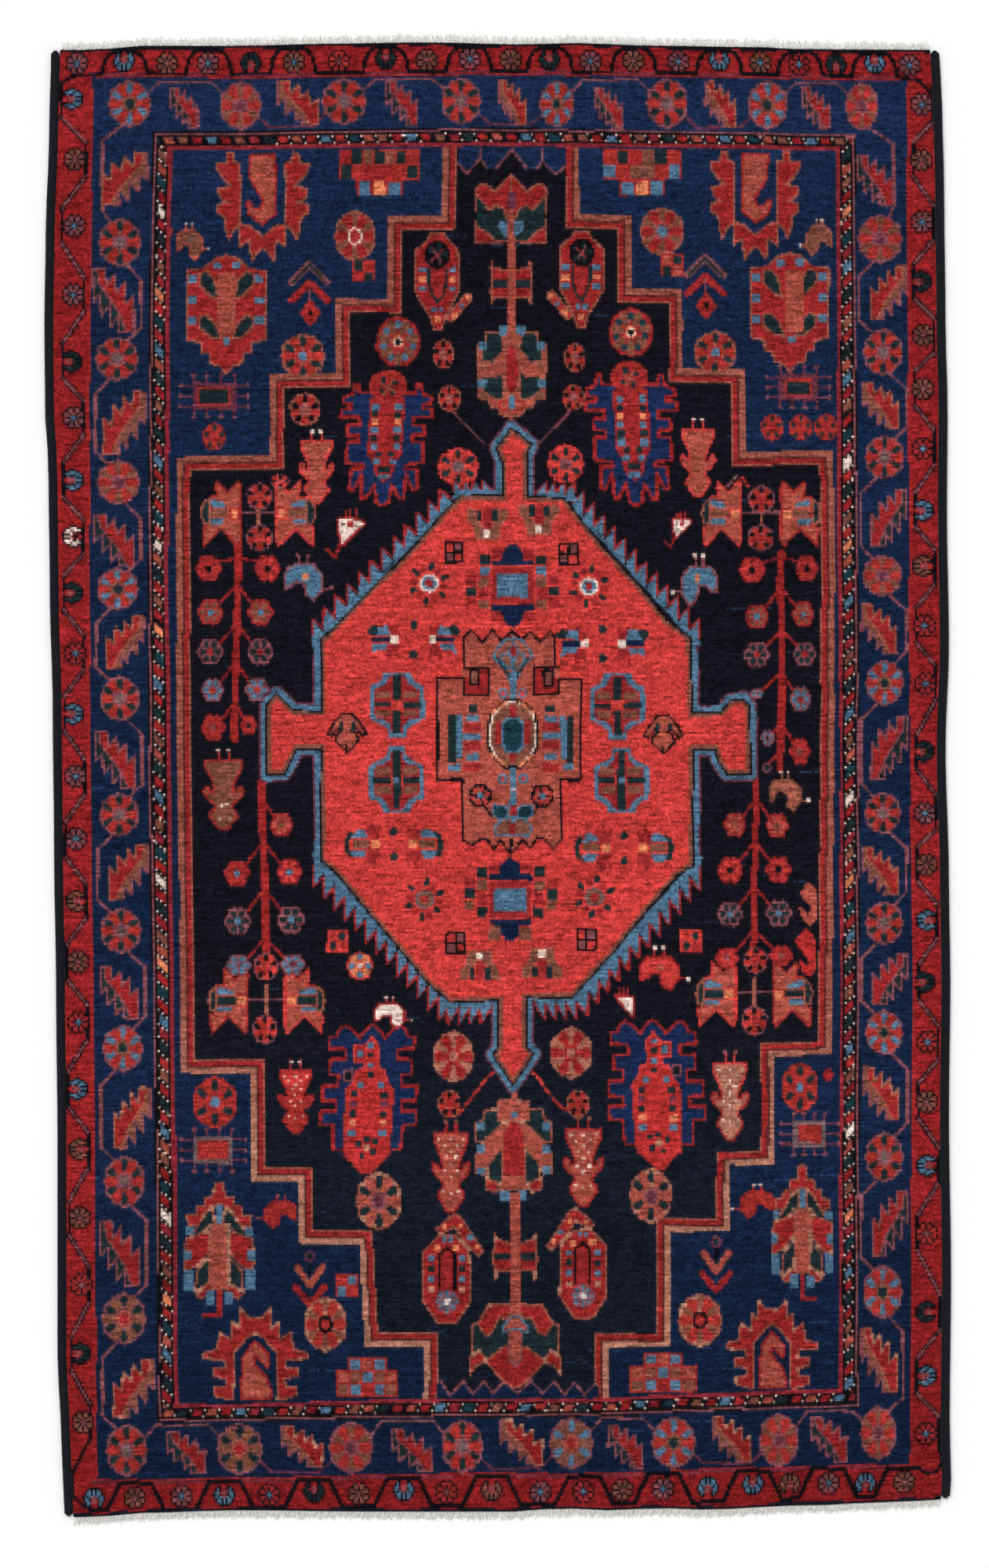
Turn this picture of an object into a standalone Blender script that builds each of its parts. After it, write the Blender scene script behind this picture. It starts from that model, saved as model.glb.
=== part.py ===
"""A hand-knotted village rug lying flat: knotted wool body, overcast side selvedges and end fringes.

Axes: +X across the width, +Y along the length (towards the end at the top of the picture), +Z up.
Origin: on the floor, under the middle of the rug. Units: metres.
"""

import math
import random

import bmesh
import bpy
from mathutils import Matrix, Vector

# ---- Driving dimensions -------------------------------------------------------------------------
RUG_WIDTH = 1.300  # over both selvedges, before the edges' own drift
RUG_LENGTH = 2.120  # without the fringes, before the ends' own drift
PILE_HEIGHT = 0.0090  # floor to the tips of the nap: foundation, knot collars and nap
PILE_SHOULDER = 0.0022  # the nap rounds over this far at the rim
SELVEDGE_WIDTH = 0.0135
SELVEDGE_HEIGHT = 0.0072
SEAM = 0.0003  # between pieces that touch

# ---- Fringe -------------------------------------------------------------------------------------
FRINGE_SEED = 7
FRINGE_LOCKS = 120  # at each end
FRINGE_HEADING = 0.0028  # the strip of warps that holds the locks, along the rug
FRINGE_HEADING_HEIGHT = 0.0026
FRINGE_TIP_HEIGHT = 0.0014
FRINGE_OPEN_SHARE = 0.22  # of each lock's pitch, open between two locks
FRINGE_TIP_SHARE = 0.62  # a lock's width at its tip beside its width at its root
FRINGE_LENGTH_TOP = 0.0098  # a lock's mean length past the heading
FRINGE_LENGTH_BOTTOM = 0.0104
FRINGE_UNEVEN = 0.0016  # locks are this much longer or shorter
FRINGE_SWAY = 0.0016  # and their tips lean this far to either side

# ---- Outline ------------------------------------------------------------------------------------
STATION_SPACING = 0.045  # between the points of an edge
# Each row of a drift table is (share along the edge, millimetres outside the straight edge).
# The shares run from the bottom end to the top end, and from the left side to the right side.
LEFT_DRIFT_MM = (
    (0.00, -23), (0.04, -19), (0.11, -13), (0.25, -13), (0.35, -11), (0.45, -8), (0.55, -6),
    (0.62, -2), (0.71, 0), (0.75, 5), (0.81, 6), (0.87, 4), (0.94, -1), (1.00, -4),
)
RIGHT_DRIFT_MM = (
    (0.00, 2), (0.02, 5), (0.06, 3), (0.16, 5), (0.27, 2), (0.36, 4), (0.43, 2), (0.52, -3),
    (0.59, 2), (0.68, -1), (0.75, 0), (0.81, -3), (0.90, -5), (0.96, -8), (1.00, -13),
)
TOP_DRIFT_MM = (
    (0.00, -10), (0.05, -10), (0.10, -4), (0.21, -4), (0.31, -1), (0.42, 1), (0.53, -2),
    (0.58, 0), (0.68, -4), (0.79, -6), (0.84, -9), (1.00, -10),
)
BOTTOM_DRIFT_MM = (
    (0.00, 9), (0.05, 9), (0.10, 3), (0.21, -1), (0.36, 1), (0.52, 1), (0.57, -4), (0.62, -1),
    (0.68, -4), (0.73, -2), (0.84, -8), (0.94, -13), (1.00, -17),
)

# ---- Finishes: colour (linear RGB), roughness ---------------------------------------------------
FINISHES = {
    "madder_wool_pile": ((0.42, 0.03, 0.03), 0.95),
    "midnight_selvedge_wool": ((0.012, 0.014, 0.028), 0.90),
    "cream_cotton_warp": ((0.74, 0.70, 0.62), 0.90),
}


def clear_scene():
    """Removes whatever the file held before."""
    for leftover in list(bpy.data.objects):
        bpy.data.objects.remove(leftover, do_unlink=True)


def eased_drift(table, share):
    """How far outside the straight edge the rug reaches at this share, in metres."""
    for (low, before), (high, after) in zip(table, table[1:]):
        if share <= high:
            part = (share - low) / (high - low)
            eased = part * part * (3 - 2 * part)
            return (before + (after - before) * eased) / 1000
    return table[-1][1] / 1000


def station_count(length):
    """How many even steps an edge of this length is drawn in."""
    return round(length / STATION_SPACING)


def drift_at(table, place, length):
    """The edge's drift at a place measured from its middle, straight between its stations."""
    count = station_count(length)
    step = min(max(place / length + 0.5, 0.0), 1.0) * count
    first = min(int(step), count - 1)
    before = eased_drift(table, first / count)
    after = eased_drift(table, (first + 1) / count)
    return before + (after - before) * (step - first)


def side_x(side, y, inset=0.0):
    """The x of the left (-1) or right (+1) edge at this y, moved in by inset."""
    table = LEFT_DRIFT_MM if side < 0 else RIGHT_DRIFT_MM
    return side * (RUG_WIDTH / 2 + drift_at(table, y, RUG_LENGTH) - inset)


def end_y(end, x, inset=0.0):
    """The y of the bottom (-1) or top (+1) end at this x, moved in by inset."""
    table = BOTTOM_DRIFT_MM if end < 0 else TOP_DRIFT_MM
    return end * (RUG_LENGTH / 2 + drift_at(table, x, RUG_WIDTH) - inset)


def corner(side, end, side_inset, end_inset=0.0):
    """Where a side and an end meet, once each is moved in."""
    x, y = side * RUG_WIDTH / 2, end * RUG_LENGTH / 2
    for _ in range(4):
        x, y = side_x(side, y, side_inset), end_y(end, x, end_inset)
    return x, y


def places(low, high, length):
    """From low to high, with every station of the edge that lies between them."""
    count = station_count(length)
    fixed = [(i / count - 0.5) * length for i in range(count + 1)]
    margin = STATION_SPACING / 8
    return [low] + [place for place in fixed if low + margin < place < high - margin] + [high]


def material(finish):
    """The Principled material of one finish, made once."""
    found = bpy.data.materials.get(finish)
    if found:
        return found
    colour, roughness = FINISHES[finish]
    made = bpy.data.materials.new(finish)
    made.use_nodes = True
    shader = made.node_tree.nodes["Principled BSDF"]
    shader.inputs["Base Color"].default_value = (*colour, 1)
    shader.inputs["Roughness"].default_value = roughness
    shader.inputs["Metallic"].default_value = 0.0
    return made


def new_piece(name, shape, finish, smooth=True):
    """Makes a named piece from its bmesh, faces outward, in its finish."""
    bmesh.ops.recalc_face_normals(shape, faces=shape.faces)
    mesh = bpy.data.meshes.new(name)
    shape.to_mesh(mesh)
    shape.free()
    mesh.materials.append(material(finish))
    if smooth:
        mesh.shade_smooth()
        mesh.set_sharp_from_angle(angle=math.radians(60))
    piece = bpy.data.objects.new(name, mesh)
    bpy.context.scene.collection.objects.link(piece)
    return piece


def knotted_body():
    """The knotted body as one slab, with the rug's uneven outline and a rounded upper rim."""
    inset = SELVEDGE_WIDTH + SEAM
    bottom_left, bottom_right = corner(-1, -1, inset), corner(1, -1, inset)
    top_left, top_right = corner(-1, 1, inset), corner(1, 1, inset)
    outline = [(x, end_y(-1, x)) for x in places(bottom_left[0], bottom_right[0], RUG_WIDTH)][:-1]
    outline += [(side_x(1, y, inset), y) for y in places(bottom_right[1], top_right[1], RUG_LENGTH)][:-1]
    outline += [(x, end_y(1, x)) for x in places(top_left[0], top_right[0], RUG_WIDTH)][:0:-1]
    outline += [(side_x(-1, y, inset), y) for y in places(bottom_left[1], top_left[1], RUG_LENGTH)][:0:-1]
    slab = bmesh.new()
    underside = slab.faces.new([slab.verts.new((x, y, 0)) for x, y in outline])
    lifted = bmesh.ops.extrude_face_region(slab, geom=[underside], use_keep_orig=True)
    upper = [item for item in lifted["geom"] if isinstance(item, bmesh.types.BMVert)]
    bmesh.ops.translate(slab, vec=(0, 0, PILE_HEIGHT), verts=upper)
    rim = [edge for edge in slab.edges if all(vert.co.z > PILE_HEIGHT / 2 for vert in edge.verts)]
    bmesh.ops.bevel(slab, geom=rim, offset=PILE_SHOULDER, segments=2, profile=0.5, affect="EDGES")
    return new_piece("knotted_body", slab, "madder_wool_pile", smooth=False)


def cord_section(width, height):
    """(across, up) points of a cord on the floor: round on top, flat where it rests."""
    section = []
    for degrees in (-30, 5, 45, 90, 135, 175, 210):
        angle = math.radians(degrees)
        section.append((math.cos(angle) * width / 2, (1 + math.sin(angle)) * height / 2))
    return [(0.28 * width, 0.0)] + section + [(-0.28 * width, 0.0)]


def selvedge(name, side):
    """The cord of wool-wrapped warps down one long side, over its whole length."""
    low, high = corner(side, -1, SELVEDGE_WIDTH / 2)[1], corner(side, 1, SELVEDGE_WIDTH / 2)[1]
    section = cord_section(SELVEDGE_WIDTH, SELVEDGE_HEIGHT)
    cord = bmesh.new()
    rows = []
    for y in places(low, high, RUG_LENGTH):
        middle = side_x(side, y, SELVEDGE_WIDTH / 2)
        rows.append([cord.verts.new((middle + across, y, up)) for across, up in section])
    for row, following in zip(rows, rows[1:]):
        for i in range(len(row)):
            j = (i + 1) % len(row)
            cord.faces.new((row[i], row[j], following[j], following[i]))
    cord.faces.new(rows[0])
    cord.faces.new(rows[-1])
    return new_piece(name, cord, "midnight_selvedge_wool")


def fringe(name, end, lock_length):
    """The cream warp ends past one end: a narrow heading, and its locks, each four-sided."""
    chance = random.Random(FRINGE_SEED + end)
    strip = bmesh.new()

    def column(x):
        """The heading's four points at this x: inner low, inner high, outer high, outer low."""
        inner = end_y(end, x) + end * SEAM
        outer = inner + end * FRINGE_HEADING
        heights = ((inner, 0), (inner, FRINGE_HEADING_HEIGHT), (outer, FRINGE_HEADING_HEIGHT), (outer, 0))
        return [strip.verts.new((x, y, z)) for y, z in heights]

    def add_lock(before, after):
        """Draws one lock out of the heading's outer wall, leaning to one side and thinner at its tip."""
        root = (before[3], after[3], after[2], before[2])
        length = lock_length + chance.uniform(-FRINGE_UNEVEN, FRINGE_UNEVEN)
        middle = (before[3].co + after[3].co) / 2
        middle += Vector((chance.uniform(-FRINGE_SWAY, FRINGE_SWAY), end * length, 0))
        half = (after[3].co.x - before[3].co.x) / 2 * FRINGE_TIP_SHARE
        spots = ((-half, 0), (half, 0), (half, FRINGE_TIP_HEIGHT), (-half, FRINGE_TIP_HEIGHT))
        tip = [strip.verts.new(middle + Vector((across, 0, up))) for across, up in spots]
        for i in range(4):
            j = (i + 1) % 4
            strip.faces.new((root[i], root[j], tip[j], tip[i]))
        strip.faces.new(tip)

    low, high = corner(-1, end, SELVEDGE_WIDTH)[0], corner(1, end, SELVEDGE_WIDTH)[0]
    pitch = (high - low) / FRINGE_LOCKS
    half = pitch * (1 - FRINGE_OPEN_SHARE) / 2
    columns = []
    for lock in range(FRINGE_LOCKS):
        centre_x = low + pitch * (lock + 0.5)
        columns += [column(centre_x - half), column(centre_x + half)]
    for i, (before, after) in enumerate(zip(columns, columns[1:])):
        strip.faces.new((before[0], after[0], after[1], before[1]))
        strip.faces.new((before[1], after[1], after[2], before[2]))
        strip.faces.new((before[3], after[3], after[0], before[0]))
        if i % 2 == 0:
            add_lock(before, after)
        else:
            strip.faces.new((before[2], after[2], after[3], before[3]))
    strip.faces.new(columns[0])
    strip.faces.new(columns[-1])
    return new_piece(name, strip, "cream_cotton_warp", smooth=False)


def centre(pieces):
    """Moves the whole rug so that the middle of its extent is over the origin."""
    points = [vertex.co for piece in pieces for vertex in piece.data.vertices]
    middle_x = (min(p.x for p in points) + max(p.x for p in points)) / 2
    middle_y = (min(p.y for p in points) + max(p.y for p in points)) / 2
    for piece in pieces:
        piece.data.transform(Matrix.Translation((-middle_x, -middle_y, 0)))


def main():
    """Builds the rug."""
    clear_scene()
    centre([
        knotted_body(),
        selvedge("selvedge_left", -1),
        selvedge("selvedge_right", 1),
        fringe("fringe_top", 1, FRINGE_LENGTH_TOP),
        fringe("fringe_bottom", -1, FRINGE_LENGTH_BOTTOM),
    ])


main()
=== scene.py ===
"""Looks of a hand-knotted village rug: knotted wool pile, woven back, overcast side cords and cotton fringes.

The rug is dressed as it is made. A Chart is the weaver's drawing: it holds one dye for every knot. Each part
of the design is a class that draws itself on the chart with a Pen, in drawing units of 1.132 mm, across from
the left and down from the top of the drawing. The knots are then tied as one quad each, in strips of pile.
"""

import logging
import math
from dataclasses import dataclass, field
from enum import IntEnum
from typing import Callable, Iterator

import bpy
import numpy as np
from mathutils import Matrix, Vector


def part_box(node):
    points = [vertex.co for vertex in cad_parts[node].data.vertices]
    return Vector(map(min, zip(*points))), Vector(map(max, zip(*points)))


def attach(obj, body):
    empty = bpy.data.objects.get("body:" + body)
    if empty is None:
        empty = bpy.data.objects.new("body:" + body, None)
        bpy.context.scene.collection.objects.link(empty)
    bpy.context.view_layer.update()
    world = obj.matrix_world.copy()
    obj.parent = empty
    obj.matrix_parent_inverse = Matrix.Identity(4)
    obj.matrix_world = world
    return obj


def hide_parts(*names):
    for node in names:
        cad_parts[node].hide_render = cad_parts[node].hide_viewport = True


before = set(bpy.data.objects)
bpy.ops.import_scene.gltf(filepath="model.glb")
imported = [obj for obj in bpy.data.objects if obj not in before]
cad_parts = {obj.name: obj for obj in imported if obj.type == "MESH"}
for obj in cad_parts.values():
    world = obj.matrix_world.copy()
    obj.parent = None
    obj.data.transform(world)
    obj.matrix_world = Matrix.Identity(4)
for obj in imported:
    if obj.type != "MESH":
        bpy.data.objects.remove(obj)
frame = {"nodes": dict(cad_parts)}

LOG = logging.getLogger("rug")
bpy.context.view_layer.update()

# ---- Driving dimensions, in metres ---------------------------------------------------------------
RUG_WIDTH = 1.300
RUG_LENGTH = 2.120
PILE_HEIGHT = 0.0090
BACK_HEIGHT = 0.0030
SELVEDGE_WIDTH = 0.0135
SELVEDGE_HEIGHT = 0.0072
SEAM = 0.0003
MERGE_DISTANCE = 0.00002
STATION_SPACING = 0.045
UNIT = 0.001132  # one unit of the drawing
DRAWING_LEFT = 635.0  # drawing units from the drawing's left to the rug's middle
DRAWING_TOP = 991.0  # and from its top
PICTURE = (1261, 2000)  # drawing units across and down that the camera takes in
KNOTS_ACROSS = 426
KNOTS_DOWN = 704
STRIPS = 4

# Each row of a drift table is (share along the edge, millimetres outside the straight edge).
# The shares run from the bottom end to the top end, and from the left side to the right side.
LEFT_DRIFT_MM = (
    (0.00, -23), (0.04, -19), (0.11, -13), (0.25, -13), (0.35, -11), (0.45, -8), (0.55, -6),
    (0.62, -2), (0.71, 0), (0.75, 5), (0.81, 6), (0.87, 4), (0.94, -1), (1.00, -4),
)
RIGHT_DRIFT_MM = (
    (0.00, 2), (0.02, 5), (0.06, 3), (0.16, 5), (0.27, 2), (0.36, 4), (0.43, 2), (0.52, -3),
    (0.59, 2), (0.68, -1), (0.75, 0), (0.81, -3), (0.90, -5), (0.96, -8), (1.00, -13),
)
TOP_DRIFT_MM = (
    (0.00, -10), (0.05, -10), (0.10, -4), (0.21, -4), (0.31, -1), (0.42, 1), (0.53, -2),
    (0.58, 0), (0.68, -4), (0.79, -6), (0.84, -9), (1.00, -10),
)
BOTTOM_DRIFT_MM = (
    (0.00, 9), (0.05, 9), (0.10, 3), (0.21, -1), (0.36, 1), (0.52, 1), (0.57, -4), (0.62, -1),
    (0.68, -4), (0.73, -2), (0.84, -8), (0.94, -13), (1.00, -17),
)

Point = tuple[float, float]


class Dye(IntEnum):
    """The dyed wools of the rug."""

    RED = 0
    CORAL = 1
    CRIMSON = 2
    SALMON = 3
    TAN = 4
    ROSE = 5
    PLUM = 6
    BROWN = 7
    NAVY = 8
    INK = 9
    INDIGO = 10
    SKY = 11
    GREEN = 12
    TEAL = 13
    ORANGE = 14
    IVORY = 15
    BLACK = 16
    GREY = 17
    FRAME_RED = 18
    WINE = 19
    # The guards' red: the border red darkened as painted shade along the rug's edge.
    GUARD_RED = 20
    SCARLET = 21


RED, CORAL, CRIMSON, SALMON, TAN, ROSE, PLUM, BROWN, NAVY, INK = list(Dye)[:10]
INDIGO, SKY, GREEN, TEAL, ORANGE, IVORY, BLACK, GREY, FRAME_RED, WINE, GUARD_RED, SCARLET = list(Dye)[10:]

# Each dye's sRGB colour, as it lies in the pile under a soft light.
WOOL: dict[Dye, str] = {
    RED: "#972627", CORAL: "#C63C38", CRIMSON: "#96282A", SALMON: "#A84E42", TAN: "#965244", ROSE: "#82484E",
    PLUM: "#663040", BROWN: "#7C493C", NAVY: "#162542", INK: "#14121A", INDIGO: "#1B2B51", SKY: "#4E6F89",
    GREEN: "#1D2A2D", TEAL: "#1A363F", ORANGE: "#DD7F5A", IVORY: "#E9CFC2", BLACK: "#100D12", GREY: "#6E5658",
    # The guards' red is the border red darkened as painted shade along the rug's edge.
    FRAME_RED: "#8A2830", WINE: "#562426", GUARD_RED: "#8F2023", SCARLET: "#B42F2E",
}


def linear(srgb: str) -> tuple[float, float, float]:
    """Turns an sRGB hex colour into linear light.

    Args:
        srgb: The colour as "#RRGGBB".

    Returns:
        Its linear red, green and blue.
    """
    parts = [int(srgb[i:i + 2], 16) / 255 for i in (1, 3, 5)]
    return tuple(p / 12.92 if p <= 0.04045 else ((p + 0.055) / 1.055) ** 2.4 for p in parts)


class Outline:
    """The rug's uneven edge: straight sides that drift in and out, as the solids have them."""

    def __init__(self) -> None:
        """Works out where the drifts stand at the edge's stations, and the shift that centres the rug."""
        self.left = self.stations(LEFT_DRIFT_MM, RUG_LENGTH)
        self.right = self.stations(RIGHT_DRIFT_MM, RUG_LENGTH)
        self.top = self.stations(TOP_DRIFT_MM, RUG_WIDTH)
        self.bottom = self.stations(BOTTOM_DRIFT_MM, RUG_WIDTH)
        self.shift = np.zeros(2)
        across, down = self.lattice(24, 40)
        low, high = (np.array(corner)[:2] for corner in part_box("knotted_body"))
        middle = np.array([across.min() + across.max(), down.min() + down.max()]) / 2
        self.shift = (low + high) / 2 - middle

    @staticmethod
    def stations(table: tuple[Point, ...], length: float) -> tuple[np.ndarray, np.ndarray]:
        """Reads a drift table at even stations, eased between its rows.

        Args:
            table: Rows of (share, millimetres).
            length: The edge's length in metres.

        Returns:
            The stations' shares and their drifts in metres.
        """
        count = round(length / STATION_SPACING)
        shares = np.arange(count + 1) / count
        drifts = []
        for share in shares:
            for (low, before), (high, after) in zip(table, table[1:]):
                if share <= high:
                    part = (share - low) / (high - low)
                    drifts.append((before + (after - before) * part * part * (3 - 2 * part)) / 1000)
                    break
        return shares, np.array(drifts)

    def side_x(self, side: int, y: np.ndarray, inset: float = 0.0) -> np.ndarray:
        """Finds the left or right edge.

        Args:
            side: -1 for the left side, 1 for the right.
            y: Places along the rug.
            inset: How far inside the edge.

        Returns:
            The edge's x at each y.
        """
        shares, drifts = self.left if side < 0 else self.right
        drift = np.interp((y - self.shift[1]) / RUG_LENGTH + 0.5, shares, drifts)
        return side * (RUG_WIDTH / 2 + drift - inset) + self.shift[0]

    def end_y(self, end: int, x: np.ndarray) -> np.ndarray:
        """Finds the bottom or top edge.

        Args:
            end: -1 for the bottom end, 1 for the top.
            x: Places across the rug.

        Returns:
            The edge's y at each x.
        """
        shares, drifts = self.bottom if end < 0 else self.top
        drift = np.interp((x - self.shift[0]) / RUG_WIDTH + 0.5, shares, drifts)
        return end * (RUG_LENGTH / 2 + drift) + self.shift[1]

    def lattice(self, columns: int, rows: int) -> tuple[np.ndarray, np.ndarray]:
        """Lays a grid over the knotted body, from its top left corner.

        Args:
            columns: Cells across.
            rows: Cells down.

        Returns:
            x and y of the grid's corners, each of rows + 1 by columns + 1.
        """
        share_x, share_y = np.meshgrid(np.linspace(0, 1, columns + 1), np.linspace(1, 0, rows + 1))
        x = (share_x - 0.5) * RUG_WIDTH
        y = (share_y - 0.5) * RUG_LENGTH
        inset = SELVEDGE_WIDTH + SEAM
        for _ in range(5):
            x = self.side_x(-1, y, inset) * (1 - share_x) + self.side_x(1, y, inset) * share_x
            y = self.end_y(-1, x) * (1 - share_y) + self.end_y(1, x) * share_y
        return x, y


class Chart:
    """The weaver's drawing on squared paper: each knot's place, in drawing units, and its dye."""

    def __init__(self, outline: Outline) -> None:
        """Rules the chart for the rug's outline.

        Args:
            outline: The rug's edge.
        """
        x, y = outline.lattice(KNOTS_ACROSS, KNOTS_DOWN)
        x = (x[1:, 1:] + x[:-1, :-1]) / 2 - outline.shift[0]
        y = (y[1:, 1:] + y[:-1, :-1]) / 2 - outline.shift[1]
        self.x = DRAWING_LEFT + x / UNIT
        self.y = DRAWING_TOP - y / UNIT
        self.dye = np.full(x.shape, GUARD_RED, np.int8)
        self.columns = self.x.min(axis=0), self.x.max(axis=0)
        self.rows = self.y.min(axis=1), self.y.max(axis=1)

    def window(self, x0: float, y0: float, x1: float, y1: float) -> tuple[slice, slice]:
        """Finds the block of knots that may lie in a box.

        Args:
            x0: Left.
            y0: Top.
            x1: Right.
            y1: Bottom.

        Returns:
            The block's rows and columns.
        """
        left = int(np.searchsorted(self.columns[1], x0))
        right = int(np.searchsorted(self.columns[0], x1))
        top = int(np.searchsorted(self.rows[1], y0))
        bottom = int(np.searchsorted(self.rows[0], y1))
        return slice(top, max(bottom, top)), slice(left, max(right, left))

    def fill(self, dye: Dye, box: tuple[float, float, float, float],
             inside: Callable[[np.ndarray, np.ndarray], np.ndarray]) -> None:
        """Dyes the knots of a box that pass a test.

        Args:
            dye: The wool.
            box: Left, top, right and bottom of the box.
            inside: Says which places pass.
        """
        block = self.window(*box)
        chosen = inside(self.x[block], self.y[block])
        self.dye[block][chosen] = dye

    def nearest(self, x: float, y: float) -> tuple[int, int]:
        """Finds the knot nearest to a place.

        Args:
            x: Across.
            y: Down.

        Returns:
            The knot's row and column.
        """
        rows, columns = self.window(x - 4, y - 4, x + 4, y + 4)
        away = (self.x[rows, columns] - x) ** 2 + (self.y[rows, columns] - y) ** 2
        row, column = np.unravel_index(int(away.argmin()), away.shape)
        return rows.start + int(row), columns.start + int(column)


KNOT = 2.66  # drawing units from one knot to the next
THIN = 2.9  # the thinnest line that stays unbroken in every direction


@dataclass(frozen=True)
class Pen:
    """Draws on the chart in a motif's own measure, which may be moved, turned over or resized."""

    chart: Chart
    x: float = 0.0
    y: float = 0.0
    flip: float = 1.0
    tip: float = 1.0

    def at(self, x: float, y: float, flip: float = 1.0, tip: float = 1.0) -> "Pen":
        """Moves the pen to a place of its own measure.

        Args:
            x: Across.
            y: Down.
            flip: Scale across; negative turns the motif over sideways.
            tip: Scale down; negative turns it upside down.

        Returns:
            The pen for the motif there.
        """
        return Pen(self.chart, self.x + self.flip * x, self.y + self.tip * y, self.flip * flip,
                   self.tip * tip)

    def both(self, x: float = 0.0, y: float = 0.0) -> Iterator["Pen"]:
        """Gives a pen and its mirror image about an upright line.

        Args:
            x: The line's place.
            y: How far down the motif's own zero is.

        Yields:
            The pen that draws to the right, then the one that draws to the left.
        """
        yield self.at(x, y)
        yield self.at(x, y, -1)

    def place(self, points: tuple[Point, ...]) -> list[Point]:
        """Gives points of the pen's measure in drawing units."""
        return [(self.x + self.flip * x, self.y + self.tip * y) for x, y in points]

    def box(self, dye: Dye, x0: float, y0: float, x1: float, y1: float) -> None:
        """Fills an upright box, at least a knot wide.

        Args:
            dye: The wool.
            x0: One side.
            y0: One end.
            x1: The other side.
            y1: The other end.
        """
        (ax, ay), (bx, by) = self.place(((x0, y0), (x1, y1)))
        left, right, top, bottom = min(ax, bx), max(ax, bx), min(ay, by), max(ay, by)
        spare_x = max(KNOT - (right - left), 0) / 2
        spare_y = max(KNOT - (bottom - top), 0) / 2
        left, right, top, bottom = left - spare_x, right + spare_x, top - spare_y, bottom + spare_y
        self.chart.fill(dye, (left, top, right, bottom),
                        lambda x, y: (x >= left) & (x < right) & (y >= top) & (y < bottom))

    def boxes(self, *rows: tuple[Dye, float, float, float, float]) -> None:
        """Fills upright boxes.

        Args:
            rows: A row for each: wool, one side, one end, the other side, the other end.
        """
        for row in rows:
            self.box(*row)

    def stud(self, dye: Dye, x: float, y: float, half_width: float, half_height: float | None = None) -> None:
        """Fills a box about its middle.

        Args:
            dye: The wool.
            x: Its middle across.
            y: Its middle down.
            half_width: Half its width.
            half_height: Half its height; the same as half_width if not given.
        """
        half_height = half_width if half_height is None else half_height
        self.box(dye, x - half_width, y - half_height, x + half_width, y + half_height)

    def patch(self, dye: Dye, *points: Point, rim: Dye | None = None, width: float = THIN) -> None:
        """Fills a closed shape, with a line round it if a rim is given.

        Args:
            dye: The wool.
            points: The shape's corners, in order.
            rim: The line's wool.
            width: The line's width.
        """
        corners = np.array(self.place(points))
        (left, top), (right, bottom) = corners.min(axis=0), corners.max(axis=0)

        def inside(x: np.ndarray, y: np.ndarray) -> np.ndarray:
            """Counts crossings of the shape's sides to the right of each place."""
            odd = np.zeros(x.shape, bool)
            for (ax, ay), (bx, by) in zip(corners, np.roll(corners, -1, axis=0)):
                if ay != by:
                    spans = (ay > y) != (by > y)
                    odd ^= spans & (x < (bx - ax) * (y - ay) / (by - ay) + ax)
            return odd

        self.chart.fill(dye, (left, top, right, bottom), inside)
        if rim is not None:
            self.line(rim, width, *points, points[0])

    def line(self, dye: Dye, width: float, *points: Point) -> None:
        """Draws a line through points.

        Args:
            dye: The wool.
            width: The line's width, never less than an unbroken line needs.
            points: The line's points.
        """
        half = max(width, THIN) / 2
        placed = self.place(points)
        for (ax, ay), (bx, by) in zip(placed, placed[1:]):
            dx, dy = bx - ax, by - ay
            length = max(dx * dx + dy * dy, 1e-6)

            def near(x: np.ndarray, y: np.ndarray) -> np.ndarray:
                """Says which places are close to this stretch of the line."""
                along = np.clip(((x - ax) * dx + (y - ay) * dy) / length, 0, 1)
                return (x - ax - along * dx) ** 2 + (y - ay - along * dy) ** 2 <= half * half

            box = (min(ax, bx) - half, min(ay, by) - half, max(ax, bx) + half, max(ay, by) + half)
            self.chart.fill(dye, box, near)

    def hair(self, dye: Dye, *points: Point) -> None:
        """Draws the thinnest line through points."""
        self.line(dye, THIN, *points)

    def oval(self, dye: Dye, x: float, y: float, rx: float, ry: float | None = None) -> None:
        """Fills an oval.

        Args:
            dye: The wool.
            x: Its middle across.
            y: Its middle down.
            rx: Half its width.
            ry: Half its height; the same as rx if not given.
        """
        ((cx, cy),) = self.place(((x, y),))
        ry = rx if ry is None else ry
        self.chart.fill(dye, (cx - rx, cy - ry, cx + rx, cy + ry),
                        lambda px, py: ((px - cx) / rx) ** 2 + ((py - cy) / ry) ** 2 <= 1)

    def wheel(self, x: float, y: float, rx: float, ry: float, count: int, start: float, span: float,
              inner: float, outer: float, dye: Dye) -> None:
        """Fills evenly turned petals between two radii of an oval.

        Args:
            x: The oval's middle across.
            y: Its middle down.
            rx: Half its width.
            ry: Half its height.
            count: Petals.
            start: The first petal's middle, in petals from straight up.
            span: Each petal's share of its turn.
            inner: Where the petals begin, as a share of the radius.
            outer: Where they end.
            dye: The wool.
        """
        ((cx, cy),) = self.place(((x, y),))

        def inside(px: np.ndarray, py: np.ndarray) -> np.ndarray:
            """Says which places lie in a petal."""
            ex, ey = (px - cx) / rx, (py - cy) / ry
            radius = np.hypot(ex, ey)
            turn = np.arctan2(ex, -ey) / (2 * math.pi) * count - start
            off = np.abs(turn - np.round(turn)) * 2
            rounded = outer - 0.16 * (off / span) ** 2
            return (off <= span) & (radius >= inner) & (radius <= rounded)

        self.chart.fill(dye, (cx - rx, cy - ry, cx + rx, cy + ry), inside)

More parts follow.
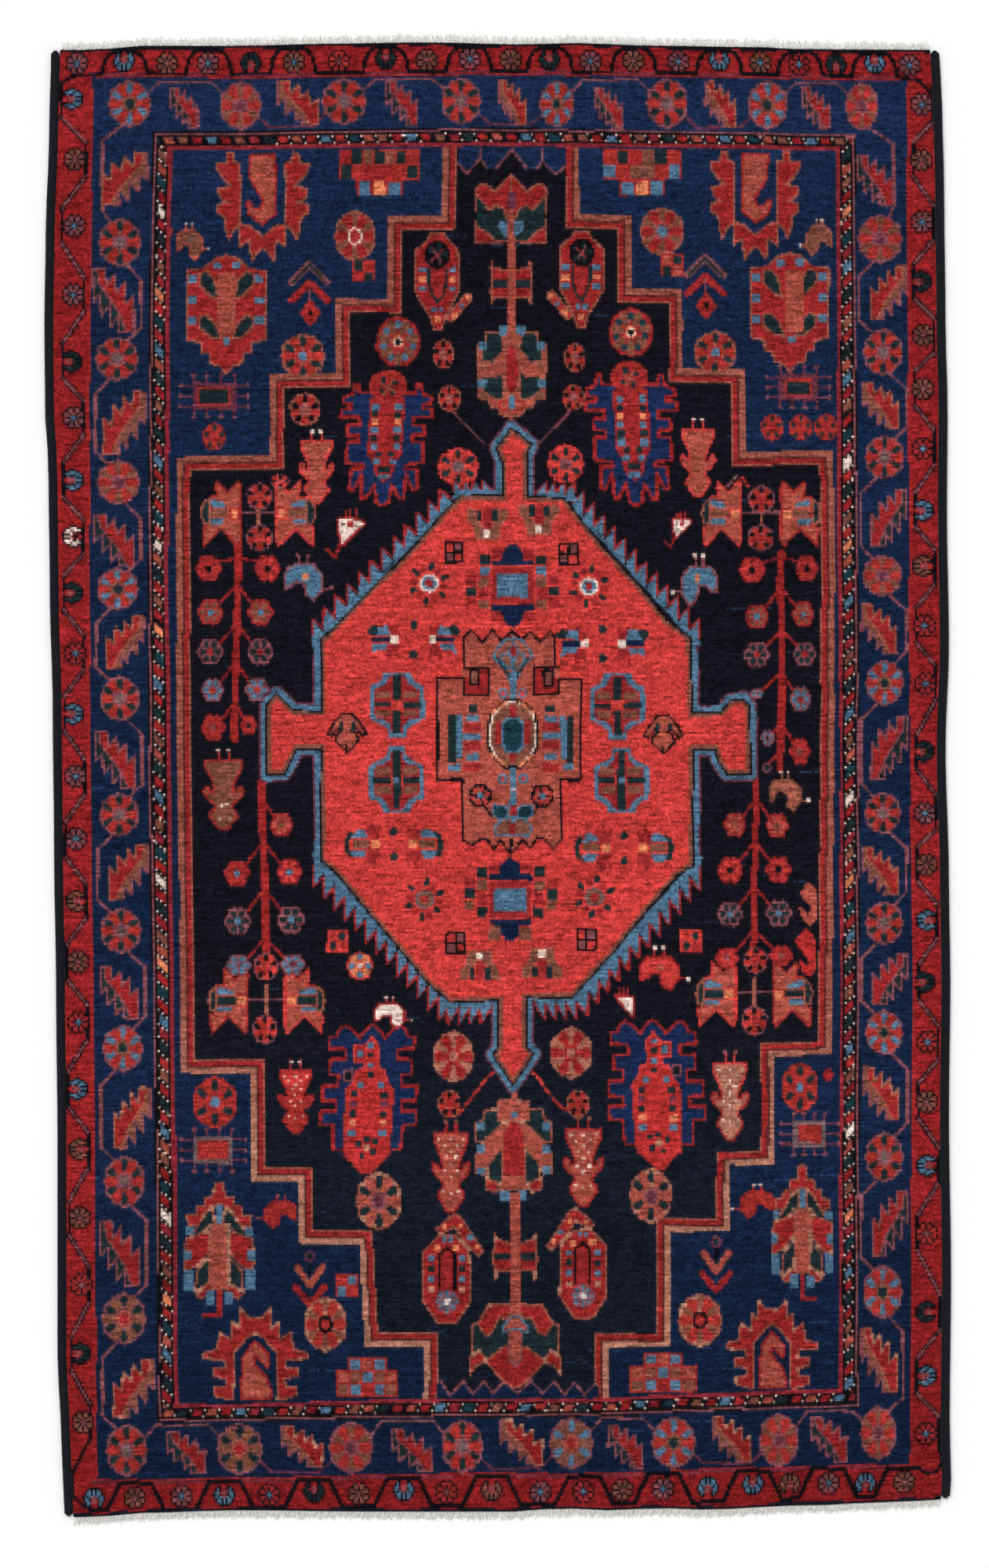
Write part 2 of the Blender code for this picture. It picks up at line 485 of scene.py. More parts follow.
    def stamp(self, x: float, y: float, rows: tuple[str, ...], dyes: dict[str, Dye], turn: int = 0) -> None:
        """Ties a small charted motif, knot by knot, about a place.

        Args:
            x: The motif's middle across.
            y: Its middle down.
            rows: The motif's rows, a letter to a knot; a dot leaves the ground.
            dyes: The wool of each letter.
            turn: Quarter turns.
        """
        ((cx, cy),) = self.place(((x, y),))
        letters = np.rot90(np.array([list(row) for row in rows]), turn)
        row, column = self.chart.nearest(cx, cy)
        top, left = row - letters.shape[0] // 2, column - letters.shape[1] // 2
        block = self.chart.dye[top:top + letters.shape[0], left:left + letters.shape[1]]
        for letter, dye in dyes.items():
            block[letters == letter] = dye


@dataclass(frozen=True)
class Rosette:
    """A round flower: broad petals with smaller ones of another dye between, and a ringed eye."""

    petal: Dye = CORAL
    between: Dye = GREEN
    eye: Dye = BROWN
    ring: Dye = ROSE
    petals: int = 6
    edge: Dye = ROSE
    eye_share: float = 0.22  # of its width

    def draw(self, pen: Pen, x: float, y: float, rx: float, ry: float) -> None:
        """Draws the flower.

        Args:
            pen: The pen.
            x: Its middle across.
            y: Its middle down.
            rx: Half its width.
            ry: Half its height.
        """
        count = self.petals
        pen.wheel(x, y, rx, ry, count, 0.5, 1.0, 0.0, 1.05, self.edge)
        pen.wheel(x, y, rx, ry, count, 0.0, 0.80, 0.0, 1.08, self.edge)
        pen.wheel(x, y, rx, ry, count, 0.5, 0.62, 0.30, 0.97, self.petal)
        pen.wheel(x, y, rx, ry, count, 0.0, 0.40, 0.48, 0.96, self.between)
        pen.oval(self.ring, x, y, rx * 0.36, ry * 0.36)
        pen.oval(self.eye, x, y, rx * self.eye_share, ry * self.eye_share)


def draw_roses(pen: Pen, roses: tuple[tuple[float, float, float, float, Rosette], ...]) -> None:
    """Draws the rosettes of a table.

    Args:
        pen: The pen.
        roses: A row for each: across, down, half width, half height, flower.
    """
    for x, y, rx, ry, rose in roses:
        rose.draw(pen, x, y, rx, ry)


@dataclass(frozen=True)
class Blossom:
    """A small flower of one dye with a darker rim and an eye."""

    petal: Dye = CORAL
    rim: Dye = CRIMSON
    eye: Dye = INK
    petals: int = 6

    def draw(self, pen: Pen, x: float, y: float, rx: float, ry: float) -> None:
        """Draws the flower.

        Args:
            pen: The pen.
            x: Its middle across.
            y: Its middle down.
            rx: Half its width.
            ry: Half its height.
        """
        pen.wheel(x, y, rx, ry, self.petals, 0.5, 1.0, 0.0, 1.05, self.rim)
        pen.wheel(x, y, rx, ry, self.petals, 0.5, 0.66, 0.30, 0.86, self.petal)
        pen.oval(self.eye, x, y, rx * 0.26, ry * 0.26)


# ---- Borders -------------------------------------------------------------------------------------
# Where each border's lines stand, in drawing units. The weaver's tension moves them a little along the way.
# Columns: down; outer guard | main border | inner guard's line | its dark band starts | ends | field frame.
LEFT_LINES = (
    (50, 118.5, 196.5, 200.5, 214.5, 221), (190, 118, 196, 200, 213.5, 220),
    (400, 114.8, 191.5, 195.5, 211, 217), (700, 114.5, 190, 193.5, 209.5, 215),
    (1000, 116.3, 190, 193.5, 212, 218), (1300, 120, 196.5, 199, 216.5, 222.5),
    (1650, 122.3, 201.5, 203.5, 221.5, 227), (1920, 124, 202.5, 205, 222, 228),
)
RIGHT_LINES = (
    (50, 1156, 1090, 1087, 1071, 1066.5), (300, 1156.5, 1090, 1087, 1071.2, 1066.7),
    (700, 1159, 1093, 1090, 1073, 1068.5), (1000, 1160.6, 1095, 1092, 1075.5, 1071),
    (1300, 1163, 1095, 1091.5, 1075, 1071), (1690, 1160.5, 1093.5, 1089.7, 1074, 1069),
    (1920, 1160, 1096, 1092.5, 1075, 1071),
)
# The same from the top and the bottom; the first column is across.
TOP_LINES = (
    (60, 98, 169, 173, 186, 191), (300, 99.5, 168.5, 172.5, 185.5, 190.5),
    (470, 96.5, 166, 169.5, 183.5, 188), (615, 95.5, 163.5, 167, 181, 186), (850, 97, 167, 170.3, 183.5, 188),
    (1070, 101.5, 172, 175, 186, 191), (1210, 103.5, 173, 176, 187, 192),
)
BOTTOM_LINES = (
    (70, 1888, 1815, 1810, 1797.5, 1791.5), (300, 1885, 1812, 1808, 1795.5, 1790.5),
    (560, 1879, 1807, 1802, 1788.5, 1783.5), (760, 1878.5, 1805.5, 1801.5, 1788.5, 1783.5),
    (856, 1875, 1801, 1796, 1783, 1778.5), (1044, 1868.5, 1795, 1790, 1776.5, 1771.5),
    (1210, 1867, 1792, 1787, 1774, 1768),
)


class Line(IntEnum):
    """The borders' lines, from the outside in, by their column in the tables."""

    MAIN = 1
    GUARD_LINE = 2
    BAND = 3
    BAND_END = 4
    FIELD = 5


def read_table(table: tuple[Point, ...], place: np.ndarray | float) -> np.ndarray:
    """Reads a table of (place, value) between its rows.

    Args:
        table: The table.
        place: The places.

    Returns:
        The value at each place.
    """
    return np.interp(place, [row[0] for row in table], [row[1] for row in table])


def line_at(table: tuple[tuple[float, ...], ...], line: Line, place: np.ndarray | float) -> np.ndarray:
    """Reads a border line between the rows of its table.

    Args:
        table: One of the tables of lines.
        line: Which line.
        place: Places along it.

    Returns:
        Where the line stands at each place.
    """
    return read_table(tuple((row[0], row[line]) for row in table), place)


@dataclass(frozen=True)
class Borders:
    """The ground of the three borders and of the spandrels, one inside the other."""

    def within(self, chart: Chart, line: Line, inset: float = 0.0) -> np.ndarray:
        """Finds the knots inside a border line.

        Args:
            chart: The chart.
            line: The line.
            inset: How far inside it.

        Returns:
            True for each knot inside.
        """
        x, y = chart.x, chart.y
        return (
            (x > line_at(LEFT_LINES, line, y) + inset) & (x < line_at(RIGHT_LINES, line, y) - inset)
            & (y > line_at(TOP_LINES, line, x) + inset) & (y < line_at(BOTTOM_LINES, line, x) - inset)
        )

    def draw(self, chart: Chart) -> None:
        """Lays in the grounds, from the outside in.

        Args:
            chart: The chart.
        """
        past_ends = (chart.y < line_at(TOP_LINES, Line.MAIN, chart.x)) | (
            chart.y > line_at(BOTTOM_LINES, Line.MAIN, chart.x))
        chart.dye[self.within(chart, Line.MAIN, -5.4) & past_ends] = PLUM
        chart.dye[self.within(chart, Line.MAIN, -2.8)] = RED
        chart.dye[self.within(chart, Line.MAIN)] = NAVY
        chart.dye[self.within(chart, Line.GUARD_LINE, -1.2)] = BLACK
        chart.dye[self.within(chart, Line.GUARD_LINE)] = ROSE
        chart.dye[self.within(chart, Line.GUARD_LINE, 2.7)] = BLACK
        chart.dye[self.within(chart, Line.BAND_END)] = FRAME_RED
        chart.dye[self.within(chart, Line.FIELD)] = NAVY
        self.edge_rows(chart)

    def edge_rows(self, chart: Chart) -> None:
        """Ends the knotting with dark rows at both ends, now one deep and now two.

        Args:
            chart: The chart.
        """
        chance = np.random.default_rng(5)
        for end, inner in ((0, 1), (-1, -2)):
            chart.dye[end, :] = INK
            runs = np.repeat(chance.random(KNOTS_ACROSS // 9 + 1) < 0.45, 9)[:KNOTS_ACROSS]
            chart.dye[inner, runs] = INK


@dataclass(frozen=True)
class BarberGuard:
    """The narrow dark guard: slanting blocks, every second one red, parted by rows of white dots."""

    reds: tuple[Dye, ...] = (GUARD_RED, FRAME_RED, RED, GUARD_RED, CRIMSON, SALMON, GUARD_RED)
    side_dyes: tuple[Dye, ...] = (SKY, GREEN, BROWN, GREEN, SKY, BROWN, TEAL, IVORY, GREEN, BROWN, ORANGE,
                                  TEAL)
    end_dyes: tuple[Dye, ...] = (SKY, BROWN, GREEN, SALMON, SKY, TEAL, BROWN)
    dark_stripe: float = 6.8  # between two blocks, in drawing units
    dot_reach: float = 0.075  # half a white dot, as a share of the band

    def band(self, chart: Chart, along: np.ndarray, depth: np.ndarray, chosen: np.ndarray, slant: float,
             period: float, dots: tuple[float, ...], dyes: tuple[Dye, ...]) -> None:
        """Draws one side of the guard.

        Args:
            chart: The chart.
            along: Each knot's place along the side.
            depth: Each knot's place across the band, from 0 to 1.
            chosen: The side's knots.
            slant: How far the blocks lean over the band, and to which side.
            period: From one block to the next.
            dots: Where the white dots stand across the band.
            dyes: The dyes of the blocks between the red ones, in turn.
        """
        phase = (along + slant * depth) / period
        block = np.floor(phase).astype(int)
        part = (phase - block) * period
        pair = block // 2
        between = np.array(dyes)[pair % len(dyes)]
        red = np.array(self.reds)[pair % len(self.reds)]
        coloured = chosen & (part > self.dark_stripe) & (depth > 0.19) & (depth < 0.82)
        chart.dye[coloured] = np.where(block % 2, red, between)[coloured]
        spot = np.min([abs(depth - dot) for dot in dots], axis=0)
        chart.dye[chosen & (abs(part - self.dark_stripe / 2) < 1.35) & (spot < self.dot_reach)] = IVORY

    def draw(self, chart: Chart, borders: Borders) -> None:
        """Draws all four sides.

        Args:
            chart: The chart.
            borders: The borders that hold the guard.
        """
        x, y = chart.x, chart.y
        ring = borders.within(chart, Line.BAND) & ~borders.within(chart, Line.BAND_END)
        side_dots, end_dots = (0.18, 0.5, 0.82), (0.2, 0.8)
        sides = (
            (LEFT_LINES, x, y, -15.5, 17.8, side_dots, self.side_dyes),
            (RIGHT_LINES, x, y, -15.5, 17.8, side_dots, self.side_dyes[3:] + self.side_dyes[:3]),
            (TOP_LINES, y, x, -5.0, 18.2, end_dots, self.end_dyes),
            (BOTTOM_LINES, y, x, -5.0, 18.2, end_dots, self.end_dyes[3:] + self.end_dyes[:3]),
        )
        for table, across, along, slant, period, dots, dyes in sides:
            start = line_at(table, Line.BAND, along)
            end = line_at(table, Line.BAND_END, along)
            depth = (across - start) / (end - start)
            chosen = ring & (depth >= 0) & (depth <= 1)
            chart.dye[chosen] = BLACK
            self.band(chart, along, depth, chosen, slant, period, dots, dyes)


# The rug's edge as the outer guard meets it: rows of (place along it, drawing units across or down).
LEFT_EDGE = ((50, 72), (1000, 77), (1650, 84), (1920, 90))
RIGHT_EDGE = ((50, 1193), (300, 1196), (1000, 1198.8), (1690, 1204.5), (1920, 1202))
TOP_EDGE = ((60, 63), (200, 60), (400, 56), (600, 54.5), (850, 57), (1000, 61), (1200, 64))
BOTTOM_EDGE = ((70, 1934), (300, 1929), (600, 1925), (860, 1922), (1050, 1915), (1200, 1912))

# A guard flower of eight petals, and one that opens to its stem: k outline, p petal, c eye, r ground.
OPEN_FLOWER = (
    "...kk.kk...",
    "..kpp.ppk..",
    ".kkppkppkk.",
    "kppkpkpkppk",
    "kpppkckpppk",
    ".kkkcccrkk.",
    "kpppkckpppk",
    "kppkpkpkppk",
    ".kkppkppkk.",
    "..kppkppk..",
    "...kk.kk...",
)
ARCH_FLOWER = (
    "...kkkkk...",
    "..kpkpkpk..",
    ".kppkpkppk.",
    ".kppkpkppk.",
    "kpkpprppkpk",
    "kppkrcrkppk",
    "kppkcccrppk",
    ".kpprcrkpk.",
    ".kpkrrrkpk.",
    "..kk.r.kk..",
)


@dataclass(frozen=True)
class GuardFlower:
    """One flower of the outer guard."""

    petal: Dye
    eye: Dye = SKY
    arch: bool = False

    def draw(self, pen: Pen, x: float, y: float, turn: int) -> None:
        """Ties the flower.

        Args:
            pen: The pen.
            x: Its middle across.
            y: Its middle down.
            turn: Quarter turns that point its opening to the vine.
        """
        rows = ARCH_FLOWER if self.arch else OPEN_FLOWER
        pen.stamp(x, y, rows, {"k": BLACK, "p": self.petal, "c": self.eye, "r": RED}, turn)


PINK_OPEN = GuardFlower(ROSE)
RED_OPEN = GuardFlower(CRIMSON)
BROWN_OPEN = GuardFlower(BROWN, ROSE)
BROWN_BLUE = GuardFlower(BROWN, SKY)
CORAL_OPEN = GuardFlower(CORAL, ROSE)
BLUE_ARCH = GuardFlower(SKY, ROSE, True)
BROWN_ARCH = GuardFlower(BROWN, ROSE, True)
IVORY_ARCH = GuardFlower(IVORY, BLACK, True)
GREEN_ARCH = GuardFlower(GREEN, ROSE, True)


def in_order(kinds: dict[GuardFlower, tuple[float, ...]]) -> tuple[tuple[float, GuardFlower], ...]:
    """Sorts the flowers of one side by their places.

    Args:
        kinds: The places of each kind.

    Returns:
        Rows of (place, flower).
    """
    spots = [(place, kind) for kind, places in kinds.items() for place in places]
    return tuple(sorted(spots, key=lambda spot: spot[0]))


# Where each kind of flower stands along a side. The vine turns to the outside at the first flower, to the
# inside at the next, and so on.
LEFT_FLOWERS = in_order({
    PINK_OPEN: (288, 375, 533, 991, 1071), RED_OPEN: (832, 1304), BROWN_OPEN: (203, 1227, 1554, 1813),
    CORAL_OPEN: (1639,), BLUE_ARCH: (127, 612, 910, 1389), BROWN_ARCH: (1149, 1467), IVORY_ARCH: (684,),
    GREEN_ARCH: (460, 756, 1727),
})
RIGHT_FLOWERS = in_order({
    PINK_OPEN: (134, 284, 1036), RED_OPEN: (571, 797, 871, 1330, 1829),
    BROWN_OPEN: (203, 428, 495, 1102, 1404), CORAL_OPEN: (1573,), BLUE_ARCH: (650, 1175, 1486, 1755),
    BROWN_ARCH: (723,), GREEN_ARCH: (358, 959, 1253, 1674),
})
TOP_FLOWERS = in_order({
    PINK_OPEN: (98, 266, 598, 752, 864, 1160), RED_OPEN: (1020,), BROWN_OPEN: (214, 545, 651, 808),
    BROWN_BLUE: (374, 970), CORAL_OPEN: (433,), BLUE_ARCH: (159, 917, 1115),
    GREEN_ARCH: (319, 492, 701, 1067),
})
BOTTOM_FLOWERS = in_order({
    PINK_OPEN: (231, 689, 846, 1056), RED_OPEN: (344, 745), BROWN_OPEN: (173, 458, 794, 1152),
    CORAL_OPEN: (570,), BLUE_ARCH: (120, 287, 514, 903, 960, 1103), BROWN_ARCH: (627, 1007),
    GREEN_ARCH: (400,),
})


@dataclass(frozen=True)
class OuterGuard:
    """The red guard at the edge: small flowers, and a dark vine that passes them on alternate sides."""

    outer_inset: float = 5.5  # from the rug's edge to the vine's outer stretches, in drawing units
    inner_inset: float = 8.5  # from the main border to its inner stretches
    upright: float = 44.0  # how long such a stretch is
    end_inset: float = 5.0
    # Half of an arch: how far from its middle, and how far down as a share of its height.
    top_arch: tuple[Point, ...] = ((12, 0), (20, 0.14), (26, 0.45), (29, 1))
    bottom_arch: tuple[Point, ...] = ((20, 0), (37, 1))
    # The vine's way round the corners of the rug: the top one, then the bottom one.
    left_corners: tuple[tuple[Point, ...], ...] = (
        ((123, 95), (90, 98), (77, 107)), ((93, 1877), (92, 1907), (100, 1916), (117, 1927)))
    right_corners: tuple[tuple[Point, ...], ...] = (
        ((1153, 100), (1173, 103), (1190, 123)), ((1202, 1860), (1197, 1875), (1183, 1880), (1170, 1873)))

    def side(self, pen: Pen, table: tuple[tuple[float, GuardFlower], ...], lines: tuple, edge: int) -> None:
        """Draws the left or right guard.

        Args:
            pen: The pen.
            table: Its flowers.
            lines: Its border lines.
            edge: -1 for the left side, 1 for the right.
        """
        outer_edge = LEFT_EDGE if edge < 0 else RIGHT_EDGE
        path: list[Point] = []
        for i, (y, _) in enumerate(table):
            inner = float(line_at(lines, Line.MAIN, y)) + edge * self.inner_inset
            outer = float(read_table(outer_edge, y)) - edge * self.outer_inset
            x = outer if i % 2 == 0 else inner
            path += [(x, y - self.upright / 2), (x, y + self.upright / 2)]
        first_corner, last_corner = self.left_corners if edge < 0 else self.right_corners
        pen.line(BLACK, 4.0, *first_corner, *path, *last_corner)
        for start, stop in zip(path[1::2], path[2::2]):
            pen.line(BLACK, 6.4, start, stop)
            pen.hair(ROSE, start, stop)
        for i, (y, flower) in enumerate(table):
            inner = float(line_at(lines, Line.MAIN, y))
            outer = float(read_table(outer_edge, y))
            to_the_left = (i % 2 == 0) == (edge > 0)
            flower.draw(pen, (inner + outer) / 2, y, 1 if to_the_left else 3)

    def end(self, pen: Pen, table: tuple[tuple[float, GuardFlower], ...], top: bool) -> None:
        """Draws the top or bottom guard.

        Args:
            pen: The pen.
            table: Its flowers.
            top: True for the top.
        """
        lines = TOP_LINES if top else BOTTOM_LINES
        outer_edge = TOP_EDGE if top else BOTTOM_EDGE
        arch = self.top_arch if top else self.bottom_arch
        path: list[Point] = [self.left_corners[0][0] if top else self.left_corners[1][-1]]
        for i, (x, _) in enumerate(table):
            edge = float(read_table(outer_edge, x))
            main = float(line_at(lines, Line.MAIN, x))
            near, far = sorted((edge, main))
            upper, lower = near + self.end_inset, far - self.end_inset
            if i % 2 == 1:
                half = [(reach, upper + share * (lower - upper)) for reach, share in arch]
                path += [(x - reach, y) for reach, y in reversed(half)]
                path += [(x + reach, y) for reach, y in half]
        path = [*path, self.right_corners[0][0]] if top else [*path[:-1], self.right_corners[1][-1]]
        pen.line(BLACK, 4.8 if top else 5.4, *path)
        for i, (x, flower) in enumerate(table):
            edge = float(read_table(outer_edge, x))
            main = float(line_at(lines, Line.MAIN, x))
            flower.draw(pen, x, (edge + main) / 2 + 1, 2 if i % 2 == 1 else 0)

    def draw(self, pen: Pen) -> None:
        """Draws all four sides.

        Args:
            pen: The pen.
        """
        self.side(pen, LEFT_FLOWERS, LEFT_LINES, -1)
        self.side(pen, RIGHT_FLOWERS, RIGHT_LINES, 1)
        self.end(pen, TOP_FLOWERS, True)
        self.end(pen, BOTTOM_FLOWERS, False)


@dataclass(frozen=True)
class SerratedLeaf:
    """A slanting leaf of the main border: a red half with teeth up, a darker half with teeth down."""

    lower: Dye = GREEN
    turned: bool = False  # leans from the right down to the left

    def draw(self, pen: Pen, x0: float, y0: float, x1: float, y1: float) -> None:
        """Draws the leaf in a box.

        Args:
            pen: The pen.
            x0: Left.
            y0: Top.
            x1: Right.
            y1: Bottom.
        """
        wide, tall = x1 - x0, y1 - y0
        leaf = pen.at(x1, y0, -1) if self.turned else pen.at(x0, y0)

        def spots(*shares: Point) -> list[Point]:
            """Turns shares of the box into places."""
            return [(sx * wide, sy * tall) for sx, sy in shares]

        leaf.patch(self.lower, *spots(
            (0.03, 0.02), (0.03, 0.52), (0.20, 0.40), (0.22, 0.74), (0.42, 0.56), (0.44, 0.90), (0.62, 0.74),
            (0.62, 0.98), (0.82, 0.98), (0.62, 0.66), (0.16, 0.22), (0.12, 0.02),
        ), rim=ROSE)
        leaf.patch(RED, *spots(
            (0.12, 0.02), (0.30, 0.02), (0.33, 0.27), (0.53, 0.10), (0.56, 0.38), (0.76, 0.22), (0.79, 0.54),
            (0.98, 0.42), (0.98, 0.98), (0.80, 0.98), (0.62, 0.68), (0.16, 0.24),
        ), rim=ROSE if self.lower is GREEN else TAN)


BLUE_ROSE = Rosette(CORAL, SKY, GREEN, BROWN)
GREEN_ROSE = Rosette(CORAL, GREEN, GREY, ROSE)
BROWN_ROSE = Rosette(CORAL, BROWN, PLUM, ROSE)
TAN_ROSE = Rosette(BROWN, GREEN, CRIMSON, SALMON)
TAN_BLUE_ROSE = Rosette(BROWN, SKY, CRIMSON, SALMON)

# Columns: across, down, half width, half height, flower. The vine joins them in this order.
LEFT_ROSES = (
    (165.5, 132, 26, 28, BLUE_ROSE), (153, 309, 26, 29, GREEN_ROSE), (149, 457.5, 26, 26, GREEN_ROSE),
    (151, 615, 26, 27, BROWN_ROSE), (150, 751, 25, 25, BLUE_ROSE), (153, 891, 24, 27, GREEN_ROSE),
    (152, 1039, 24, 26, GREEN_ROSE), (154, 1187, 25, 27, GREEN_ROSE), (156.5, 1337, 25, 28, BLUE_ROSE),
    (158.5, 1507, 25, 31, GREEN_ROSE), (158, 1682, 27, 31, TAN_ROSE), (161.5, 1850, 25, 31, GREEN_ROSE),
)
RIGHT_ROSES = (
    (1098.7, 135.5, 20, 29, BROWN_ROSE), (1122, 304.5, 27, 29, BROWN_ROSE), (1126, 449, 24, 28, GREEN_ROSE),
    (1128, 583, 24, 26, GREEN_ROSE), (1125, 734, 24, 25, BROWN_ROSE), (1128, 871, 23, 27, BLUE_ROSE),
    (1125.5, 1037, 22, 25, GREEN_ROSE), (1127.5, 1177, 23, 26, GREEN_ROSE), (1127.5, 1317, 23, 27, BLUE_ROSE),
    (1127.5, 1476, 23, 30, GREEN_ROSE), (1125.5, 1648, 24, 32, BLUE_ROSE), (1120, 1828, 22, 32, BROWN_ROSE),
)
TOP_ROSES = (
    (165.5, 132, 26, 28, BLUE_ROSE), (306.7, 134.5, 25, 29, BROWN_ROSE), (439, 129, 27, 28, GREEN_ROSE),
    (588, 129, 24, 28, GREEN_ROSE), (710, 132.5, 21, 28, BLUE_ROSE), (850.7, 131.5, 25, 30, GREEN_ROSE),
    (979, 134, 24, 29, BLUE_ROSE), (1098.7, 135.5, 20, 29, BROWN_ROSE),
)
BOTTOM_ROSES = (
    (161.5, 1850, 25, 31, GREEN_ROSE), (305.5, 1848, 28, 31, TAN_ROSE), (447.5, 1846.5, 27, 31, BROWN_ROSE),
    (589.5, 1845, 25, 32, GREEN_ROSE), (728.5, 1841, 27, 31, TAN_BLUE_ROSE), (859, 1840, 27, 31, BLUE_ROSE),
    (993, 1837, 24, 32, BROWN_ROSE), (1120, 1828, 22, 32, BROWN_ROSE),
)
RED_GREEN = SerratedLeaf(GREEN)
RED_BROWN = SerratedLeaf(BROWN)
TURNED_GREEN = SerratedLeaf(GREEN, True)
TURNED_BROWN = SerratedLeaf(BROWN, True)

# Boxes of the leaves of each kind: left, top, right, bottom.
BORDER_LEAVES = {
    TURNED_BROWN: (
        (129, 193, 190, 262), (131, 498, 187, 581), (135, 785, 185, 853), (138, 1076, 190, 1148),
        (144, 1386, 193, 1466), (144, 1733, 198, 1809), (1110, 338, 1157, 408),
    ),
    RED_GREEN: (
        (117, 341, 172, 425), (119, 655, 171, 723), (120, 932, 174, 1007), (126, 1232, 177, 1300),
        (127, 1557, 178, 1641), (1093, 198, 1139, 262), (217, 111, 253, 163), (492, 103, 533, 160),
        (757, 111, 795, 164), (1022, 111, 1058, 164), (212, 1825, 263, 1879), (498, 1823, 552, 1877),
        (774, 1818, 820, 1873), (1034, 1807, 1081, 1865),
    ),
    RED_BROWN: (
        (1099, 486, 1147, 547), (1097, 770, 1144, 835), (1099, 1079, 1146, 1142), (1099, 1360, 1147, 1429),
        (1097, 1693, 1144, 1776), (353, 103, 406, 160), (635, 101, 671, 160), (898, 103, 938, 163),
        (357, 1819, 412, 1871), (637, 1810, 693, 1869), (907, 1806, 958, 1865),
    ),
    TURNED_GREEN: (
        (1111, 624, 1157, 698), (1110, 912, 1158, 995), (1112, 1215, 1159, 1281), (1112, 1518, 1159, 1603),
    ),
}


@dataclass(frozen=True)
class MainBorder:
    """The navy border: rosettes and slanting leaves, joined by a pink vine that swings from side to side."""

    reach: float = 29.0  # how far from the roses' line the vine runs on the side borders, in drawing units

    def side_vine(self, pen: Pen, roses: tuple, first: int) -> None:
        """Draws a side border's vine.

        Args:
            pen: The pen.
            roses: The roses that it joins.
            first: 1 if it first swings to the right, -1 if to the left.
        """
        swing = first
        for (ax, ay, _, ar, _), (bx, by, _, br, _) in zip(roses, roses[1:]):
            x = (ax + bx) / 2 + swing * self.reach
            pen.line(ROSE, 4.6, (x, ay + ar + 19), (x, by - br - 13))
            pen.line(ROSE, 3.2, (ax + swing * 5, ay + ar - 4), (x, ay + ar + 19))
            pen.line(ROSE, 3.2, (x, by - br - 13), (bx + swing * 11, by - br + 5))
            swing = -swing

    def end_vine(self, pen: Pen, roses: tuple, lines: tuple) -> None:
        """Draws an end border's vine.

        Args:
            pen: The pen.
            roses: The roses that it joins.
            lines: The end's border lines.
        """
        high = True
        for (ax, ay, ar, _, _), (bx, by, br, _, _) in zip(roses, roses[1:]):
            middle = (ax + bx) / 2
            rails = sorted(float(line_at(lines, line, middle)) for line in (Line.MAIN, Line.GUARD_LINE))
            y = rails[0] + 5 if high else rails[1] - 6
            lean = -14 if high else 14
            pen.hair(ROSE if high else PLUM, (ax + ar - 3, ay + lean), (ax + ar + 12, y), (bx - br - 12, y),
                     (bx - br + 4, by + lean))
            high = not high

    def draw(self, pen: Pen) -> None:
        """Draws the vine, then the roses and leaves over it.

        Args:
            pen: The pen.
        """
        self.side_vine(pen, LEFT_ROSES, -1)
        self.side_vine(pen, RIGHT_ROSES, 1)
        self.end_vine(pen, TOP_ROSES, TOP_LINES)
        self.end_vine(pen, BOTTOM_ROSES, BOTTOM_LINES)
        for leaf, boxes in BORDER_LEAVES.items():
            for box in boxes:
                leaf.draw(pen, *box)
        draw_roses(pen, LEFT_ROSES + RIGHT_ROSES + TOP_ROSES[1:-1] + BOTTOM_ROSES[1:-1])


# ---- Field ---------------------------------------------------------------------------------------
# The field's stepped edge, the outside of its tan line, clockwise from its top left corner.
FIELD_EDGE: tuple[Point, ...] = (
    (564.5, 170), (738.5, 170), (738.5, 273.5), (805.5, 273.5), (805.5, 367.5), (870, 367.5), (871, 470),
    (950, 470), (951, 576), (1062, 574), (1065, 700), (1064, 900), (1062, 1200), (1061.5, 1345),
    (988, 1347.5), (988, 1486), (931, 1486), (931, 1571), (855, 1571.5), (855, 1718.5), (776.5, 1719),
    (776.5, 1810), (540, 1810), (540, 1717.5), (465, 1717.5), (458, 1587), (382, 1587), (381, 1506.5),
    (320, 1506.5), (319.5, 1369), (231.5, 1369), (230, 1200), (225, 900), (225, 583), (344.5, 581),
    (343.5, 476), (428.5, 476), (428.5, 381), (494.5, 381), (494.5, 274.5), (563.5, 274.5),
)
# Rows of points that close the field at its top and bottom.
TOP_ZIGZAG: tuple[Point, ...] = (
    (584, 208), (595.7, 221), (612, 202), (626.3, 221.6), (653, 190.5), (677.3, 222.4), (691.8, 205.8),
    (708, 222.4), (721, 212),
)
BOTTOM_ZIGZAG: tuple[Point, ...] = (
    (557, 1766), (561, 1761), (574, 1780), (591, 1762), (603, 1778), (617, 1762), (629, 1777), (643, 1762),
    (660, 1777), (677, 1761), (692, 1777), (707, 1762), (720, 1779), (733, 1763), (745, 1780), (760, 1764),
    (765, 1772),
)


def inset(points: tuple[Point, ...], distance: float) -> list[Point]:
    """Moves the sides of a closed shape inwards.

    Args:
        points: The shape's corners, clockwise.
        distance: How far; negative moves them outwards.

    Returns:
        The new corners.
    """
    corners = np.array(points, float)
    sides = np.roll(corners, -1, axis=0) - corners
    sides /= np.maximum(np.hypot(*sides.T), 0.001)[:, None]
    inward = np.stack([-sides[:, 1], sides[:, 0]], axis=1)
    before = np.roll(inward, 1, axis=0)
    spread = np.maximum(1 + (inward * before).sum(axis=1), 0.25)[:, None]
    return [tuple(corner) for corner in (corners + distance * (inward + before) / spread).tolist()]


